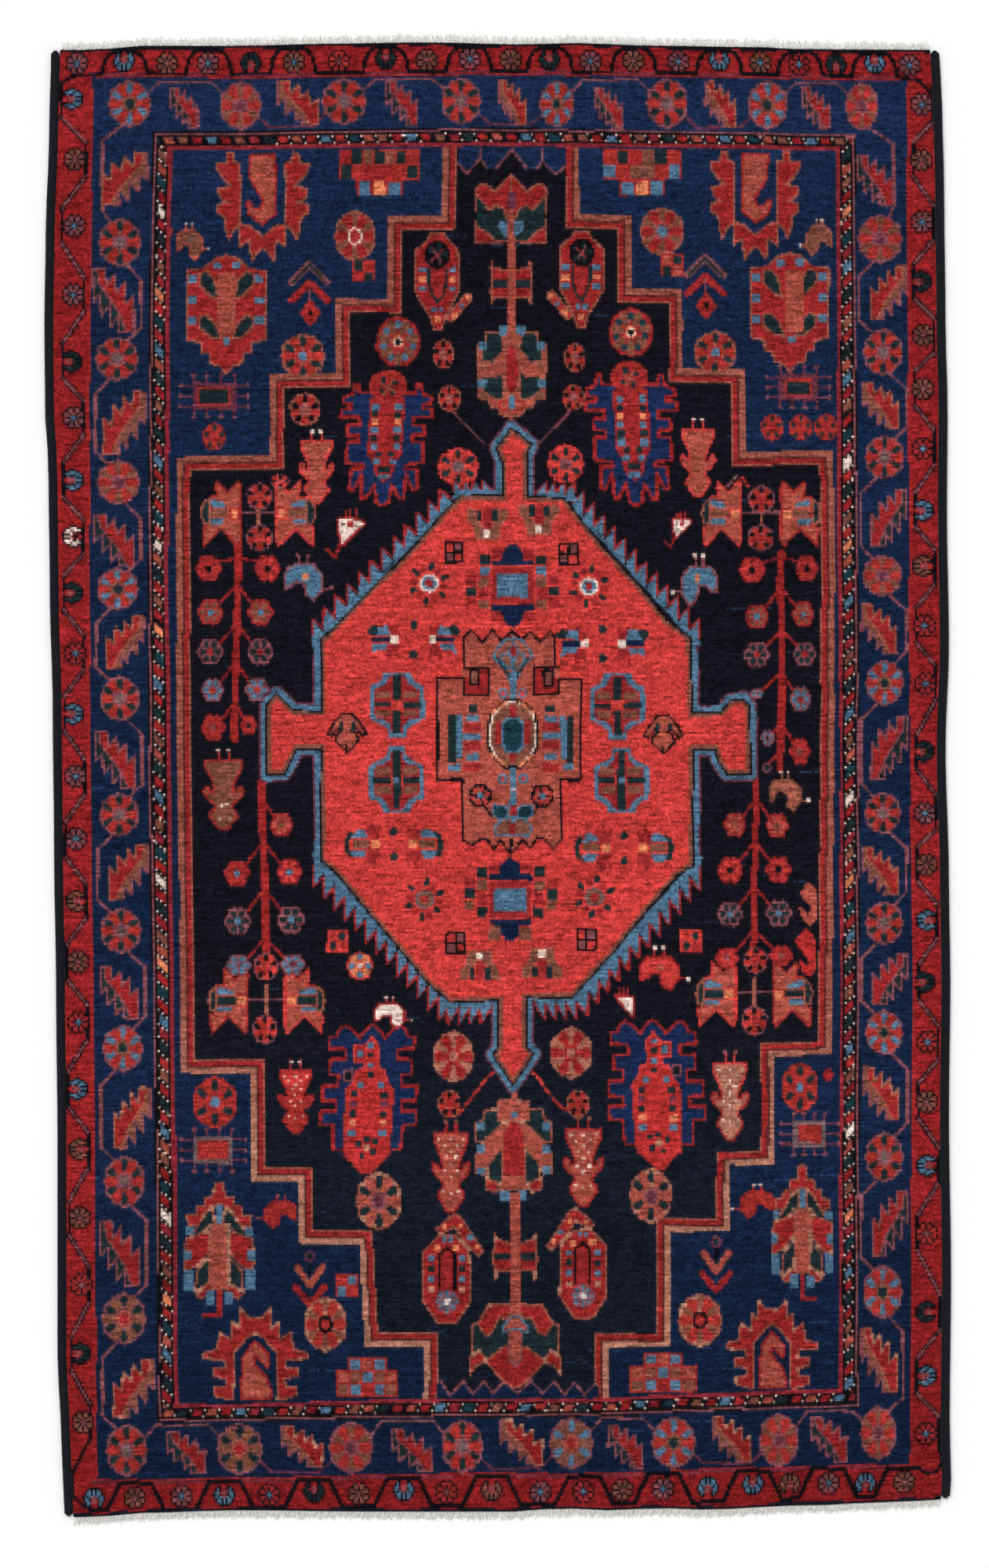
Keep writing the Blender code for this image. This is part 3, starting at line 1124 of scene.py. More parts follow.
@dataclass(frozen=True)
class FieldFrame:
    """The field's edge: tan, wine, red and tan lines round a near-black ground."""

    bands: tuple[tuple[Dye, float], ...] = ((TAN, 0), (WINE, 7.4), (RED, 10.2), (TAN, 15.6), (INK, 18.0))

    def draw(self, pen: Pen) -> None:
        """Draws the frame and the ground.

        Args:
            pen: The pen.
        """
        for dye, depth in self.bands:
            pen.patch(dye, *inset(FIELD_EDGE, depth))
        pen.patch(NAVY, (584, 180), *TOP_ZIGZAG, (721, 180))
        pen.hair(ROSE, *TOP_ZIGZAG)
        for x in (612, 692):
            pen.hair(ROSE, (x, 190), (x, 203))
        pen.patch(NAVY, *BOTTOM_ZIGZAG, (759, 1800), (558, 1800))
        pen.hair(ROSE, *BOTTOM_ZIGZAG)


def leaning(points: tuple[Point, ...], lean: float) -> tuple[Point, ...]:
    """Leans an outline over.

    Args:
        points: The outline.
        lean: How far it goes to the right for each step down.

    Returns:
        The leaning outline.
    """
    return tuple((x + lean * y, y) for x, y in points)


def both_halves(half: tuple[Point, ...]) -> list[Point]:
    """Closes a symmetrical shape.

    Args:
        half: The right half's corners, from top to bottom.

    Returns:
        All its corners, clockwise.
    """
    return [*half, *[(-x, y) for x, y in reversed(half)]]


# Right halves of symmetrical motifs, from top to bottom; x from the motif's middle line, y from its top.
HANGING_LEAF: tuple[Point, ...] = (
    (38, 0), (45, 2), (46, 13), (59, 15), (57, 24), (50, 34), (40, 43), (57, 47), (55, 56), (50, 62),
    (43, 64), (57, 67), (57, 78), (49, 82), (47, 98), (43, 112), (38, 100), (29, 92), (29, 14), (37, 12),
)
HANGING_CROWN: tuple[Point, ...] = (
    (0, 108), (8, 101), (15, 95), (29, 91), (29, 120), (17, 112), (14, 138), (5, 125), (0, 123),
)
CORNER_PALMETTE: tuple[Point, ...] = (
    (0, 0), (6, 3), (14, 4), (20, 10), (30, 16), (50, 20), (50, 108), (32, 112), (32, 124), (22, 126),
    (20, 138), (8, 142), (0, 152),
)
HOOD: tuple[Point, ...] = (
    (0, 0), (6, 1), (7, 18), (18, 19), (19, 30), (28, 31), (29, 42), (41, 43), (39, 55), (28, 56), (18, 38),
    (8, 30), (0, 28),
)
STANDING_HORNS: tuple[Point, ...] = (
    (0, 13), (8, 13), (20, 1), (21, 26), (29, 18), (31, 41), (46, 31), (48, 53), (66, 58), (66, 65), (40, 66),
    (37, 76), (54, 78), (54, 88), (37, 90), (38, 100), (53, 102), (53, 112), (34, 117), (28, 117), (27, 57),
    (10, 38), (0, 32),
)
VASE: tuple[Point, ...] = (
    (20, 0), (20, 8), (13, 22), (10, 31), (11, 37), (15, 36), (16, 31), (21, 30), (22, 36), (17, 44),
    (11, 48), (9, 53), (14, 59), (15.5, 63), (9, 72), (4, 79),
)
VASE_STUDS: tuple[Point, ...] = (
    (-14, 6), (0, 6), (14, 6), (-8, 12), (7, 12), (0, 18), (-5, 23), (6, 24), (0, 31), (-7, 38), (7, 38),
    (0, 44), (-9, 58), (0, 60), (9, 58),
)
STANDING_PALMETTE_EDGE: tuple[Point, ...] = (
    (24, 13), (36, 13), (37, 2), (42, 2), (44, 14), (56, 19), (56, 26), (45, 28), (45, 33), (58, 34),
    (58, 44), (34, 44), (34, 54), (49, 54), (49, 67), (34, 67), (34, 76), (48, 76), (49, 102), (27, 105),
    (27, 110), (42, 110), (43, 136), (38, 137), (28, 117), (27, 148), (22, 148), (11, 130), (8, 152),
    (0, 157),
)
STANDING_PALMETTE_BODY: tuple[Point, ...] = ((21, 20), (21, 90), (14, 100), (12, 112), (8, 120), (0, 126))
LOBED_PALMETTE_EDGE: tuple[Point, ...] = (
    (0, 1), (8, 6), (16, 18), (28, 6), (35, 2), (43, 8), (45, 16), (54, 17), (54, 31), (33, 32), (33, 45),
    (52, 45), (52, 64), (40, 65), (41, 79), (60, 79), (60, 98), (42, 98), (42, 111), (61, 111), (61, 128),
    (45, 129), (43, 160),
)
LOBED_PALMETTE_BODY: tuple[Point, ...] = (
    (0, 16), (9, 28), (9, 56), (18, 60), (22, 74), (30, 84), (29, 150), (28, 168), (18, 176), (6, 190),
)


@dataclass(frozen=True)
class HangingFlower:
    """The upper corners' flower: two toothed leaves and a crown hang round a curled bud."""

    def draw(self, pen: Pen) -> None:
        """Draws the flower, its bud curled to the left.

        Args:
            pen: The pen at the flower's middle line and top.
        """
        for side in pen.both():
            side.patch(RED, *HANGING_LEAF, rim=TAN)
        pen.patch(RED, *both_halves(HANGING_CROWN), rim=TAN)
        pen.patch(SALMON, (-17, 4), (16, 4), (17, 78), (-1, 92), (-19, 78), (-20, 64), (-17, 62), (-12, 71),
                  (-3, 71), (1, 62), (-16, 34), rim=RED)


@dataclass(frozen=True)
class StandingFlower:
    """The lower corners' flower: spiny arms round a curled bud."""

    def draw(self, pen: Pen) -> None:
        """Draws the flower.

        Args:
            pen: The pen at the flower's middle line and top.
        """
        pen.patch(RED, *both_halves(STANDING_HORNS), rim=TAN)
        pen.patch(SALMON, (-19, 116), (-16, 63), (-1, 42), (17, 60), (18, 74), (15, 77), (-1, 60), (-2, 72),
                  (14, 88), (20, 104), (20, 116), rim=RED)


@dataclass(frozen=True)
class CornerPalmette:
    """The upper corners' palmette: red petals and green leaves on a tan stalk, studded with blue."""

    def draw(self, pen: Pen, x: float, y: float, flip: float, stalk: float) -> None:
        """Draws the palmette.

        Args:
            pen: The pen.
            x: Its middle line.
            y: Its top.
            flip: Its scale across.
            stalk: How far its stalk stands to the right of its middle.
        """
        here = pen.at(x, y, flip)
        here.patch(RED, *both_halves(CORNER_PALMETTE), rim=TAN)
        for side in here.both():
            side.patch(NAVY, (20, 8), (48, 8), (48, 19), (30, 17))
            side.patch(GREEN, (35, 24), (25, 21), (15, 32), (10, 57), (21, 52), (34, 38), rim=TAN)
            side.patch(GREEN, (35, 79), (25, 77), (14, 88), (6, 107), (19, 105), (33, 94), rim=TAN)
            for stud in (31, 58, 84):
                side.box(SKY, 37, stud - 5, 48, stud + 5)
            side.box(SKY, 7, 8, 17, 18)
        pen.at(x + stalk, y).box(SALMON, -12, 22, 12, 102)
        pen.at(x + stalk / 2, y).box(SKY, -5, 106, 5, 116)


@dataclass(frozen=True)
class LowerPalmette:
    """The lower corners' palmette: a stepped red hood over green leaves, hanging from a tan stalk."""

    def draw(self, pen: Pen) -> None:
        """Draws the palmette.

        Args:
            pen: The pen at its middle line and top; turned over, its foot points to the right.
        """
        pen.patch(RED, *both_halves(HOOD), rim=TAN)
        for side in pen.both():
            side.patch(GREEN, (7, 32), (16, 38), (28, 56), (38, 70), (22, 66), (12, 54), (6, 54), rim=TAN)
            side.box(SKY, 33, 57, 44, 68)
            side.patch(RED, (11, 62), (24, 66), (42, 72), (44, 85), (36, 87), (38, 98), (44, 100), (43, 111),
                       (30, 108), (12, 88), rim=TAN)
            side.boxes((SKY, 36, 87, 46, 99), (SKY, 33, 112, 45, 138))
            side.patch(GREEN, (12, 94), (28, 112), (31, 140), (12, 128), rim=TAN)
            side.patch(RED, (10, 126), (30, 144), (24, 148), (12, 142), rim=TAN)
            side.box(SKY, 7, 139, 17, 157)
        pen.box(SKY, -5, 30, 5, 54)
        pen.patch(SALMON, (-8, 54), (8, 54), (12, 62), (12, 128), (9, 137), (-9, 137), (-12, 128), (-12, 62),
                   rim=TAN)
        pen.boxes((RED, -3, 137, 4, 172), (RED, -22, 166, 4, 172))


@dataclass(frozen=True)
class CombBox:
    """A small comb: a framed box with prongs all round."""

    frame: Dye = ROSE
    ring: Dye = CRIMSON
    heart: Dye = CORAL

    def draw(self, pen: Pen, half_width: float, half_height: float) -> None:
        """Draws the comb.

        Args:
            pen: The pen at its middle.
            half_width: Half its frame's width.
            half_height: Half its frame's height.
        """
        for share in (-1, -0.35, 0.35, 1):
            at = share * (half_width - 1)
            pen.hair(PLUM, (at, -half_height - 10), (at, half_height + 10))
            for end in (-1, 1):
                pen.box(ROSE, at - 3, end * (half_height + 9) - 1.4, at + 3, end * (half_height + 9) + 1.4)
        for share in (-0.75, 0, 0.75):
            at = share * half_height
            pen.hair(PLUM, (-half_width - 17, at), (half_width + 17, at))
            for end in (-1, 1):
                pen.box(ROSE, end * (half_width + 16) - 1.4, at - 3, end * (half_width + 16) + 1.4, at + 3)
        pen.boxes((self.frame, -half_width, -half_height, half_width, half_height),
                  (self.ring, 6 - half_width, 6 - half_height, half_width - 6, half_height - 6),
                  (self.heart, 9 - half_width, 9 - half_height, half_width - 9, half_height - 9))


@dataclass(frozen=True)
class Checker:
    """Rows of small squares, with a line between them."""

    size: float = 15.5
    gap: float = 2.4
    line: Dye = CORAL

    def draw(self, pen: Pen, x: float, y: float, height: float, rows: tuple[tuple[Dye, ...], ...]) -> None:
        """Draws the rows.

        Args:
            pen: The pen.
            x: The middle line.
            y: The top.
            height: Each row's height.
            rows: The squares' dyes, row by row.
        """
        for number, dyes in enumerate(rows):
            left, top = x - len(dyes) * self.size / 2, y + number * height
            pen.box(self.line, left - 1.4, top, left + len(dyes) * self.size + 1.4, top + height + 1.4)
            for column, dye in enumerate(dyes):
                start, stop = left + column * self.size, left + column * self.size + self.size
                pen.box(dye, start + self.gap / 2, top + self.gap, stop - self.gap / 2, top + height)


@dataclass(frozen=True)
class Bird:
    """A little bird as an arch of wool with two horns and a tail."""

    body: Dye = SKY
    rim: Dye = ROSE
    eye: Dye = ORANGE
    tips: Dye = ROSE

    def draw(self, pen: Pen) -> None:
        """Draws the bird.

        Args:
            pen: The pen at its middle line and the top of its back; turned over, the bird looks to the right.
        """
        pen.patch(self.body, (-24, 11), (-18, 2), (-9, 0), (12, 0), (24, 13), (24, 31), (13, 46), (2, 37),
                  (1, 22), (-10, 22), (-17, 29), (-24, 31), rim=self.rim)
        for horn in (-6, 5):
            pen.hair(self.rim, (horn, -12), (horn, -1))
            pen.box(self.tips, horn - 2.6, -14, horn + 2.6, -9)
        pen.hair(self.rim, (24, 30), (36, 30))
        pen.boxes((self.tips, 34, 27.5, 39, 32), (self.eye, -2, 10, 6, 18))


@dataclass(frozen=True)
class Chevrons:
    """A small plant of two chevrons, drawn point up or point down."""

    def arrow(self, pen: Pen, dye: Dye, y: float, reach: float, drop: float, width: float = 6.5) -> None:
        """Draws one chevron.

        Args:
            pen: The pen at the plant's middle line.
            dye: The wool.
            y: Its point.
            reach: How far its arms reach sideways.
            drop: How far they reach down.
            width: Its stroke.
        """
        pen.line(dye, width, (-reach, y + drop), (0, y), (reach, y + drop))

    def hanging(self, pen: Pen) -> None:
        """Draws the plant with its points up, over a lozenge.

        Args:
            pen: The pen at its middle line and top.
        """
        self.arrow(pen, ROSE, 4, 23, 23, 8.5)
        self.arrow(pen, GREEN, 5, 21, 22, 3.6)
        self.arrow(pen, RED, 28, 23, 22, 8.5)
        self.arrow(pen, CORAL, 28, 21, 20, 3)
        pen.hair(ROSE, (1, 34), (1, 56))
        pen.patch(RED, (1, 50), (13, 66), (1, 82), (-11, 66), rim=CORAL)
        pen.box(BLACK, -2, 62, 4, 69)

    def standing(self, pen: Pen) -> None:
        """Draws the plant with its points down, under a small dark flower.

        Args:
            pen: The pen at its middle line and top, turned upside down.
        """
        pen.hair(BLACK, (0, -30), (0, 0))
        pen.oval(PLUM, 0, -6, 7, 8)
        pen.oval(GREEN, 0, -6, 4, 5)
        self.arrow(pen, SALMON, -44, 16, 24, 8.5)
        self.arrow(pen, RED, -68, 18, 22, 8.5)


@dataclass(frozen=True)
class Vase:
    """A small vase with two arms and two sprigs at its mouth."""

    body: Dye = CORAL
    rim: Dye = RED
    studs: Dye = SALMON
    tips: Dye = IVORY

    def draw(self, pen: Pen) -> None:
        """Draws the vase.

        Args:
            pen: The pen at its middle line and mouth.
        """
        pen.patch(self.body, *both_halves(VASE), rim=self.rim)
        for sprig in (-6, 6):
            pen.hair(self.rim, (sprig, -13), (sprig, 0))
            pen.box(self.tips, sprig - 2.4, -14, sprig + 2.4, -10)
        for across, down in VASE_STUDS:
            pen.stud(self.studs, across, down, 1.4, 1.2)


@dataclass(frozen=True)
class SerratedPalmette:
    """The field's navy palmettes: a red key line round them, and a red heart studded with small squares."""

    studs: tuple[Dye, ...] = (SKY, GREEN, ORANGE, SKY, GREEN, SKY)

    def standing(self, pen: Pen, lean: float) -> None:
        """Draws the upper one, with a rosette on top.

        Args:
            pen: The pen at its middle line and top.
            lean: How far it leans to the right for each step down.
        """
        pen.patch(INDIGO, *leaning(both_halves(STANDING_PALMETTE_EDGE), lean), rim=RED, width=4.2)
        pen.patch(RED, *leaning(both_halves(STANDING_PALMETTE_BODY), lean), rim=CRIMSON)
        pen.oval(CORAL, 0, 5, 24, 21)
        pen.oval(RED, 0, 5, 20, 17)
        for angle in range(4):
            turn = math.tau * (angle + 0.35) / 4
            pen.hair(TAN, (0, 6), (11 * math.cos(turn), 6 + 11 * math.sin(turn)))
            pen.box(GREEN, 10 * math.cos(turn + 0.5) - 3, 2 + 10 * math.sin(turn + 0.5),
                     10 * math.cos(turn + 0.5) + 3, 8 + 10 * math.sin(turn + 0.5))
        for number, dye in enumerate(self.studs):
            down = 30 + number * 10.3
            for side in (-14.5, 14.5):
                pen.box(dye, side + lean * down - 4.5, down - 4, side + lean * down + 4.5, down + 4)
        for number, dye in enumerate((GREEN, SKY, GREEN, SKY)):
            down = 91 + number * 9.8
            for side in (-1, 1):
                middle = side * (10 if number == 1 else 8 - number * 1.6) + lean * down
                pen.stud(dye, middle, down, 4, 3.5)

    def hanging(self, pen: Pen) -> None:
        """Draws the lower one, three lobes over a pointed heart.

        Args:
            pen: The pen at its middle line and top.
        """
        pen.patch(INDIGO, *leaning(both_halves(LOBED_PALMETTE_EDGE), -0.05), rim=RED, width=3.6)
        pen.patch(INK, (-32, 150), (16, 150), (18, 170), (-34, 170))
        pen.patch(SCARLET, *leaning(both_halves(LOBED_PALMETTE_BODY), -0.05), rim=CORAL)
        for number, dye in enumerate((SKY, GREEN, SKY, GREEN)):
            pen.box(dye, -6, 24 + number * 12.4, 2, 31 + number * 12.4)
        for side in (-1, 1):
            pen.box(SKY, side * 13 - 8, 73, side * 13, 81)
            for number, dye in enumerate((GREEN, PLUM, GREEN, ORANGE, SKY)):
                middle = side * 19.5 - 5 - number * 0.6
                pen.box(dye, middle - 4.5, 86 + number * 12, middle + 4.5, 94 + number * 12)
        pen.oval(TAN, -8, 158, 5, 5)
        for px, py in ((-19, 153), (-8, 147), (3, 150), (0, 164), (-14, 168)):
            pen.stud(GREEN, px, py, 3.5)
        pen.patch(RED, (-23, 28), (-9, 28), (-9, 48), (-23, 48), rim=CORAL)
        pen.box(SKY, -19, 33, -11, 43)
        pen.patch(INK, (-36, 60), (-26, 58), (-26, 72), (-36, 72), rim=ROSE)


@dataclass(frozen=True)
class StarHead:
    """A tree's head: half an eight-pointed star with a barred heart, its flat side to the trunk."""

    bar: Dye = BROWN

    def draw(self, pen: Pen) -> None:
        """Draws the head, pointing to the left.

        Args:
            pen: The pen at the middle of its flat side.
        """
        pen.patch(SALMON, (0, -34), (-2, -41), (-16, -27), (-30, -41), (-31, -32), (-28, -22), (-38, -21),
                  (-38, 14), (-48, 18), (-46, 41), (-25, 19), (-3, 41), (0, 34), rim=CORAL)
        pen.patch(GREEN, (-40, -19), (-48, -12), (-50, 0), (-47, 12), (-40, 14), rim=TAN)
        pen.patch(SKY, (-38, -17), (-34, -18), (-19, -13), (-19, -8), (-38, -9))
        pen.boxes((self.bar, -38, -5, -16, 4), (SKY, -39, 7, -21, 13), (CORAL, -14, -8, -1, 7),
                  (ORANGE, -12, -5, -3, 5))


@dataclass(frozen=True)
class Tree:
    """A flowering tree: a red trunk with pairs of thin branches, each ending in a small flower."""

    trunk: tuple[Point, ...]
    nodes: tuple[float, ...]
    # Across, down, half width, half height, petals, eye.
    flowers: tuple[tuple[float, float, float, float, Dye, Dye], ...]
    width: float = 9.5

    def draw(self, pen: Pen) -> None:
        """Draws the tree.

        Args:
            pen: The pen.
        """
        pen.line(RED, self.width, *self.trunk)
        for x, y, rx, ry, petal, eye in self.flowers:
            above = [node for node in self.nodes if node < y - 8]
            start = max(above) if above else self.nodes[0]
            middle = float(np.interp(start, [spot[1] for spot in self.trunk],
                                     [spot[0] for spot in self.trunk]))
            side = 1 if x > middle else -1
            pen.line(RED, 3.4, (middle, start), (x - side * rx * 0.6, y - ry * 0.5))
        for x, y, rx, ry, petal, eye in self.flowers:
            rim = CRIMSON if petal in (CORAL, BROWN, SALMON) else ROSE
            Blossom(petal, rim, eye).draw(pen, x, y, rx, ry)


TREES = (
    Tree(((304, 697), (302, 800), (300, 870), (299, 943)), (712, 745, 795, 843, 896), (
        (266, 725, 16, 17, CORAL, BLACK), (341, 725, 16, 17, CORAL, BLACK), (268, 781, 16, 17, BROWN, SKY),
        (332, 781, 16, 17, BROWN, SKY), (268, 831, 16, 17, GREEN, RED), (332, 831, 16, 17, GREEN, RED),
        (271, 880, 14, 15, SKY, CORAL), (328, 880, 15, 16, SKY, CORAL), (272, 928, 15, 17, CORAL, ROSE),
        (317, 925, 10, 13, CORAL, INK))),
    Tree(((334, 996), (335, 1060), (337, 1110), (339, 1218)), (1018, 1073, 1133, 1196), (
        (359, 1052, 14, 16, SALMON, BROWN), (302, 1114, 16, 17, CORAL, SKY), (369, 1112, 16, 17, CORAL, SKY),
        (303, 1175, 16, 18, GREEN, SKY), (371, 1173, 17, 18, GREEN, SKY), (304, 1231, 16, 14, SKY, PLUM),
        (373, 1230, 16, 14, SKY, PLUM))),
    Tree(((996, 706), (995, 745), (997, 800), (997, 860), (996, 920), (994, 979)),
         (710, 748, 802, 857, 920, 962), (
        (959, 727, 16, 17, CORAL, BLACK), (1029, 725, 14, 17, CORAL, BLACK), (965, 786, 15, 16, BROWN, SKY),
        (1024, 783, 14, 16, BROWN, SKY), (965, 835, 16, 16, GREEN, RED), (1026, 834, 14, 16, GREEN, RED),
        (965, 884, 9, 6, SKY, ROSE), (1021, 892, 13, 16, SKY, RED), (979, 941, 9, 10, SKY, INK),
        (1020, 958, 13, 17, CORAL, BROWN))),
    Tree(((964, 988), (964, 1040), (963, 1080), (962, 1120), (961, 1212)), (1018, 1073, 1130, 1186), (
        (937, 1052, 14, 16, SALMON, BROWN), (991, 1053, 14, 16, SALMON, BROWN),
        (931, 1110, 16, 17, CORAL, BLACK), (993, 1109, 16, 17, CORAL, BLACK),
        (931, 1166, 16, 16, GREEN, SKY), (993, 1165, 16, 17, GREEN, SKY),
        (927, 1222, 15, 14, CORAL, ROSE), (996, 1219, 15, 13, CORAL, BROWN)), 8.0),
)


@dataclass(frozen=True)
class StemPalmette:
    """The palmettes on the field's upright stem, with green wings and blue studs."""

    def upper(self, pen: Pen) -> None:
        """Draws the one over the medallion.

        Args:
            pen: The pen at its middle line and top.
        """
        for side in pen.both():
            side.patch(SALMON, (6, 8), (34, 8), (34, 22), (43, 24), (43, 92), (30, 94), (26, 104), (16, 106),
                       (14, 114), (0, 116), rim=TAN)
            side.patch(GREEN, (12, 10), (32, 10), (32, 24), (38, 26), (38, 46), (24, 48), (10, 30), rim=TAN)
            side.patch(GREEN, (10, 56), (36, 62), (38, 84), (26, 92), (10, 96), rim=TAN)
            side.patch(SALMON, (8, 34), (20, 52), (40, 54), (40, 64), (20, 66), (8, 60))
            side.box(SKY, 6, 1, 17, 12)
            for place in (20, 68):
                side.box(SKY, 32, place, 43, place + 11)
            side.boxes((TAN, 32, 46, 43, 56), (BROWN, 30, 84, 42, 93))
        pen.patch(RED, *both_halves(((0, 24), (6, 30), (9, 44), (9, 70), (6, 84), (0, 90))), rim=TAN)
        pen.box(SALMON, -5, 0, 5, 26)
        pen.patch(SALMON, (-16, 96), (16, 96), (14, 108), (-14, 108), rim=RED)
        pen.patch(SKY, (0, 88), (5, 94), (5, 106), (-5, 106), (-5, 94))
        pen.line(SALMON, 5, (0, 108), (0, 128))

    def lower(self, pen: Pen) -> None:
        """Draws the one under the medallion.

        Args:
            pen: The pen at its middle line and top.
        """
        for side in pen.both():
            side.patch(GREEN, (18, 24), (36, 24), (40, 38), (48, 41), (48, 66), (34, 64), (12, 46), rim=TAN)
            side.patch(GREEN, (10, 66), (20, 76), (34, 96), (34, 122), (22, 124), (12, 114), rim=TAN)
            side.patch(SALMON, (10, 40), (16, 44), (34, 60), (49, 82), (48, 105), (38, 107), (30, 90),
                       (10, 68), rim=TAN)
            side.patch(RED, (20, 118), (36, 112), (34, 126), (22, 130), rim=TAN)
            for place in (41, 69, 97):
                side.box(SKY, 37, place, 47, place + 10)
            side.box(SKY, 6, 125, 17, 140)
        pen.box(SALMON, -4, 0, 4, 14)
        pen.patch(SALMON, (-19, 13), (19, 13), (19, 38), (-19, 38), rim=TAN)
        pen.box(SKY, -4, 26, 4, 35)
        pen.patch(RED, (-5, 38), (5, 38), (14, 54), (14, 110), (-14, 110), (-14, 54), rim=TAN)
        pen.patch(SALMON, (-14, 110), (14, 110), (18, 126), (-18, 126), rim=TAN)


@dataclass(frozen=True)
class Boteh:
    """A bud-shaped bottle studded with small squares, with a side shoot."""

    def upper(self, pen: Pen) -> None:
        """Draws one beside the upper stem, its shoot on the right.

        Args:
            pen: The pen at its middle line and top.
        """
        pen.patch(RED, (-8, 0), (8, 0), (14, 8), (26, 19), (28, 72), (18, 90), (9, 108), (6, 122), (-4, 122),
                   (-8, 106), (-20, 88), (-29, 72), (-28, 22), (-14, 10), rim=TAN)
        pen.patch(CORAL, (10, 108), (37, 76), (44, 78), (42, 86), (18, 112), rim=TAN)
        for sx, sy, dye in ((39, 82, ORANGE), (31, 92, SKY), (22, 104, ORANGE)):
            pen.stud(dye, sx, sy, 3)
        pen.oval(BLACK, 0, 27, 16, 18)
        pen.wheel(0, 27, 14, 16, 5, 0.2, 0.42, 0.1, 0.95, GREEN)
        pen.hair(ROSE, (-6, 18), (5, 36))
        pen.hair(CORAL, (7, 20), (-6, 34))
        pen.line(GREEN, 3.4, (-11, 44), (-11, 62), (-6, 78), (0, 88), (7, 78), (12, 62), (12, 44))
        pen.box(CRIMSON, -6, 46, 7, 78)
        for sy, dye in ((46, SKY), (58, ORANGE), (70, SKY)):
            for sx in (-19, 20):
                pen.stud(dye, sx, sy, 4.5, 3.6)
        for sx in (-4.5, 5):
            pen.box(SKY, sx - 3.2, 93, sx + 3.2, 100)
        pen.box(ORANGE, -3.6, 105, 4.2, 113)

    def lower(self, pen: Pen) -> None:
        """Draws one beside the lower stem, its shoot on the right.

        Args:
            pen: The pen at its middle line and top.
        """
        pen.patch(RED, (-10, 0), (11, 0), (28, 20), (30, 84), (11, 112), (-12, 112), (-30, 84), (-30, 20),
                   rim=TAN)
        pen.line(BLACK, 3.2, (-9, 68), (-9, 24), (0, 16), (10, 24), (10, 68))
        pen.box(CRIMSON, -5, 24, 6, 68)
        for sy, dye in ((16, ORANGE), (29, SKY), (42, GREEN), (55, SKY), (69, TAN)):
            out = 12 if sy < 20 else 19
            for sx in (-out, out):
                pen.stud(dye, sx, sy, 4, 3.8)
        for sx in (-4, 4):
            pen.box(SKY, sx - 3, 2, sx + 3, 9)
        pen.oval(ROSE, 0, 84, 15, 15)
        pen.wheel(0, 84, 15, 15, 8, 0, 0.5, 0.2, 0.95, SKY)
        pen.oval(IVORY, 0, 84, 4, 4)
        pen.patch(RED, (-14, -8), (9, -28), (17, -24), (46, 20), (40, 25), (24, 12), (10, -12), (-8, -2),
                  rim=TAN)
        for sx, sy, dye in ((-4, -11, ORANGE), (17, -12, ORANGE), (29, 2, SKY), (38, 15, ORANGE)):
            pen.stud(dye, sx, sy, 3.2)


WHITE_EYED_ROSE = Rosette(RED, BROWN, CRIMSON, IVORY, 6, TAN, 0.28)
BLUE_EYED_ROSE = Rosette(RED, BROWN, SKY, ROSE, 6, TAN)
TAN_RIMMED_ROSE = Rosette(CORAL, GREEN, SKY, CORAL, 6, TAN)
CORAL_RIMMED_ROSE = Rosette(CORAL, GREEN, SKY, CORAL, 6, CORAL)
DARK_EYED_ROSE = Rosette(CORAL, BROWN, CRIMSON, BLACK, 6, TAN)
RED_ROSE = Rosette(RED, TAN, TAN, CRIMSON, 6, TAN)
SALMON_ROSE = Rosette(SALMON, GREEN, PLUM, ROSE, 6, TAN)
SMALL_GREEN_ROSE = Rosette(CORAL, GREEN, CORAL, RED, 5, CORAL)
SMALL_TAN_ROSE = Rosette(CORAL, BLACK, TAN, ROSE, 5, TAN)
SMALL_RED_ROSE = Rosette(CORAL, BLACK, RED, CORAL, 5, TAN)
SMALL_DARK_ROSE = Rosette(CORAL, BLACK, CORAL, CORAL, 5, ROSE)

# Single rosettes. Columns: across, down, half width, half height, flower.
CORNER_ROSES = (
    (386, 454, 27, 27, TAN_RIMMED_ROSE), (912, 449, 26, 26, TAN_RIMMED_ROSE),
    (452.5, 301, 25, 31, WHITE_EYED_ROSE), (844, 295, 27, 29, BLUE_EYED_ROSE),
    (273, 557, 14, 16, SMALL_GREEN_ROSE), (985, 545, 14, 16, SMALL_GREEN_ROSE),
    (1021, 545, 14, 16, SMALL_GREEN_ROSE), (1053, 545, 14, 16, SMALL_GREEN_ROSE),
    (274, 1406, 27, 31, CORAL_RIMMED_ROSE), (1020, 1387, 22, 30, CORAL_RIMMED_ROSE),
)
FOOT_ROSES = ((415, 1689, 26, 33, DARK_EYED_ROSE), (892.5, 1684, 27, 32, DARK_EYED_ROSE))
UPPER_ROSES = (
    (573, 508, 14, 16, SMALL_TAN_ROSE), (731, 507, 14, 16, SMALL_TAN_ROSE),
    (565, 452, 13, 18, SMALL_TAN_ROSE), (733, 456, 13, 18, SMALL_TAN_ROSE),
    (389, 522, 19, 20, SMALL_TAN_ROSE),
    (584, 595, 25, 23, Rosette(CORAL, GREEN, GREY, ROSE, 6, CORAL)),
    (721, 592, 22, 24, Rosette(CORAL, GREEN, ROSE, ROSE, 6, CORAL)),
)
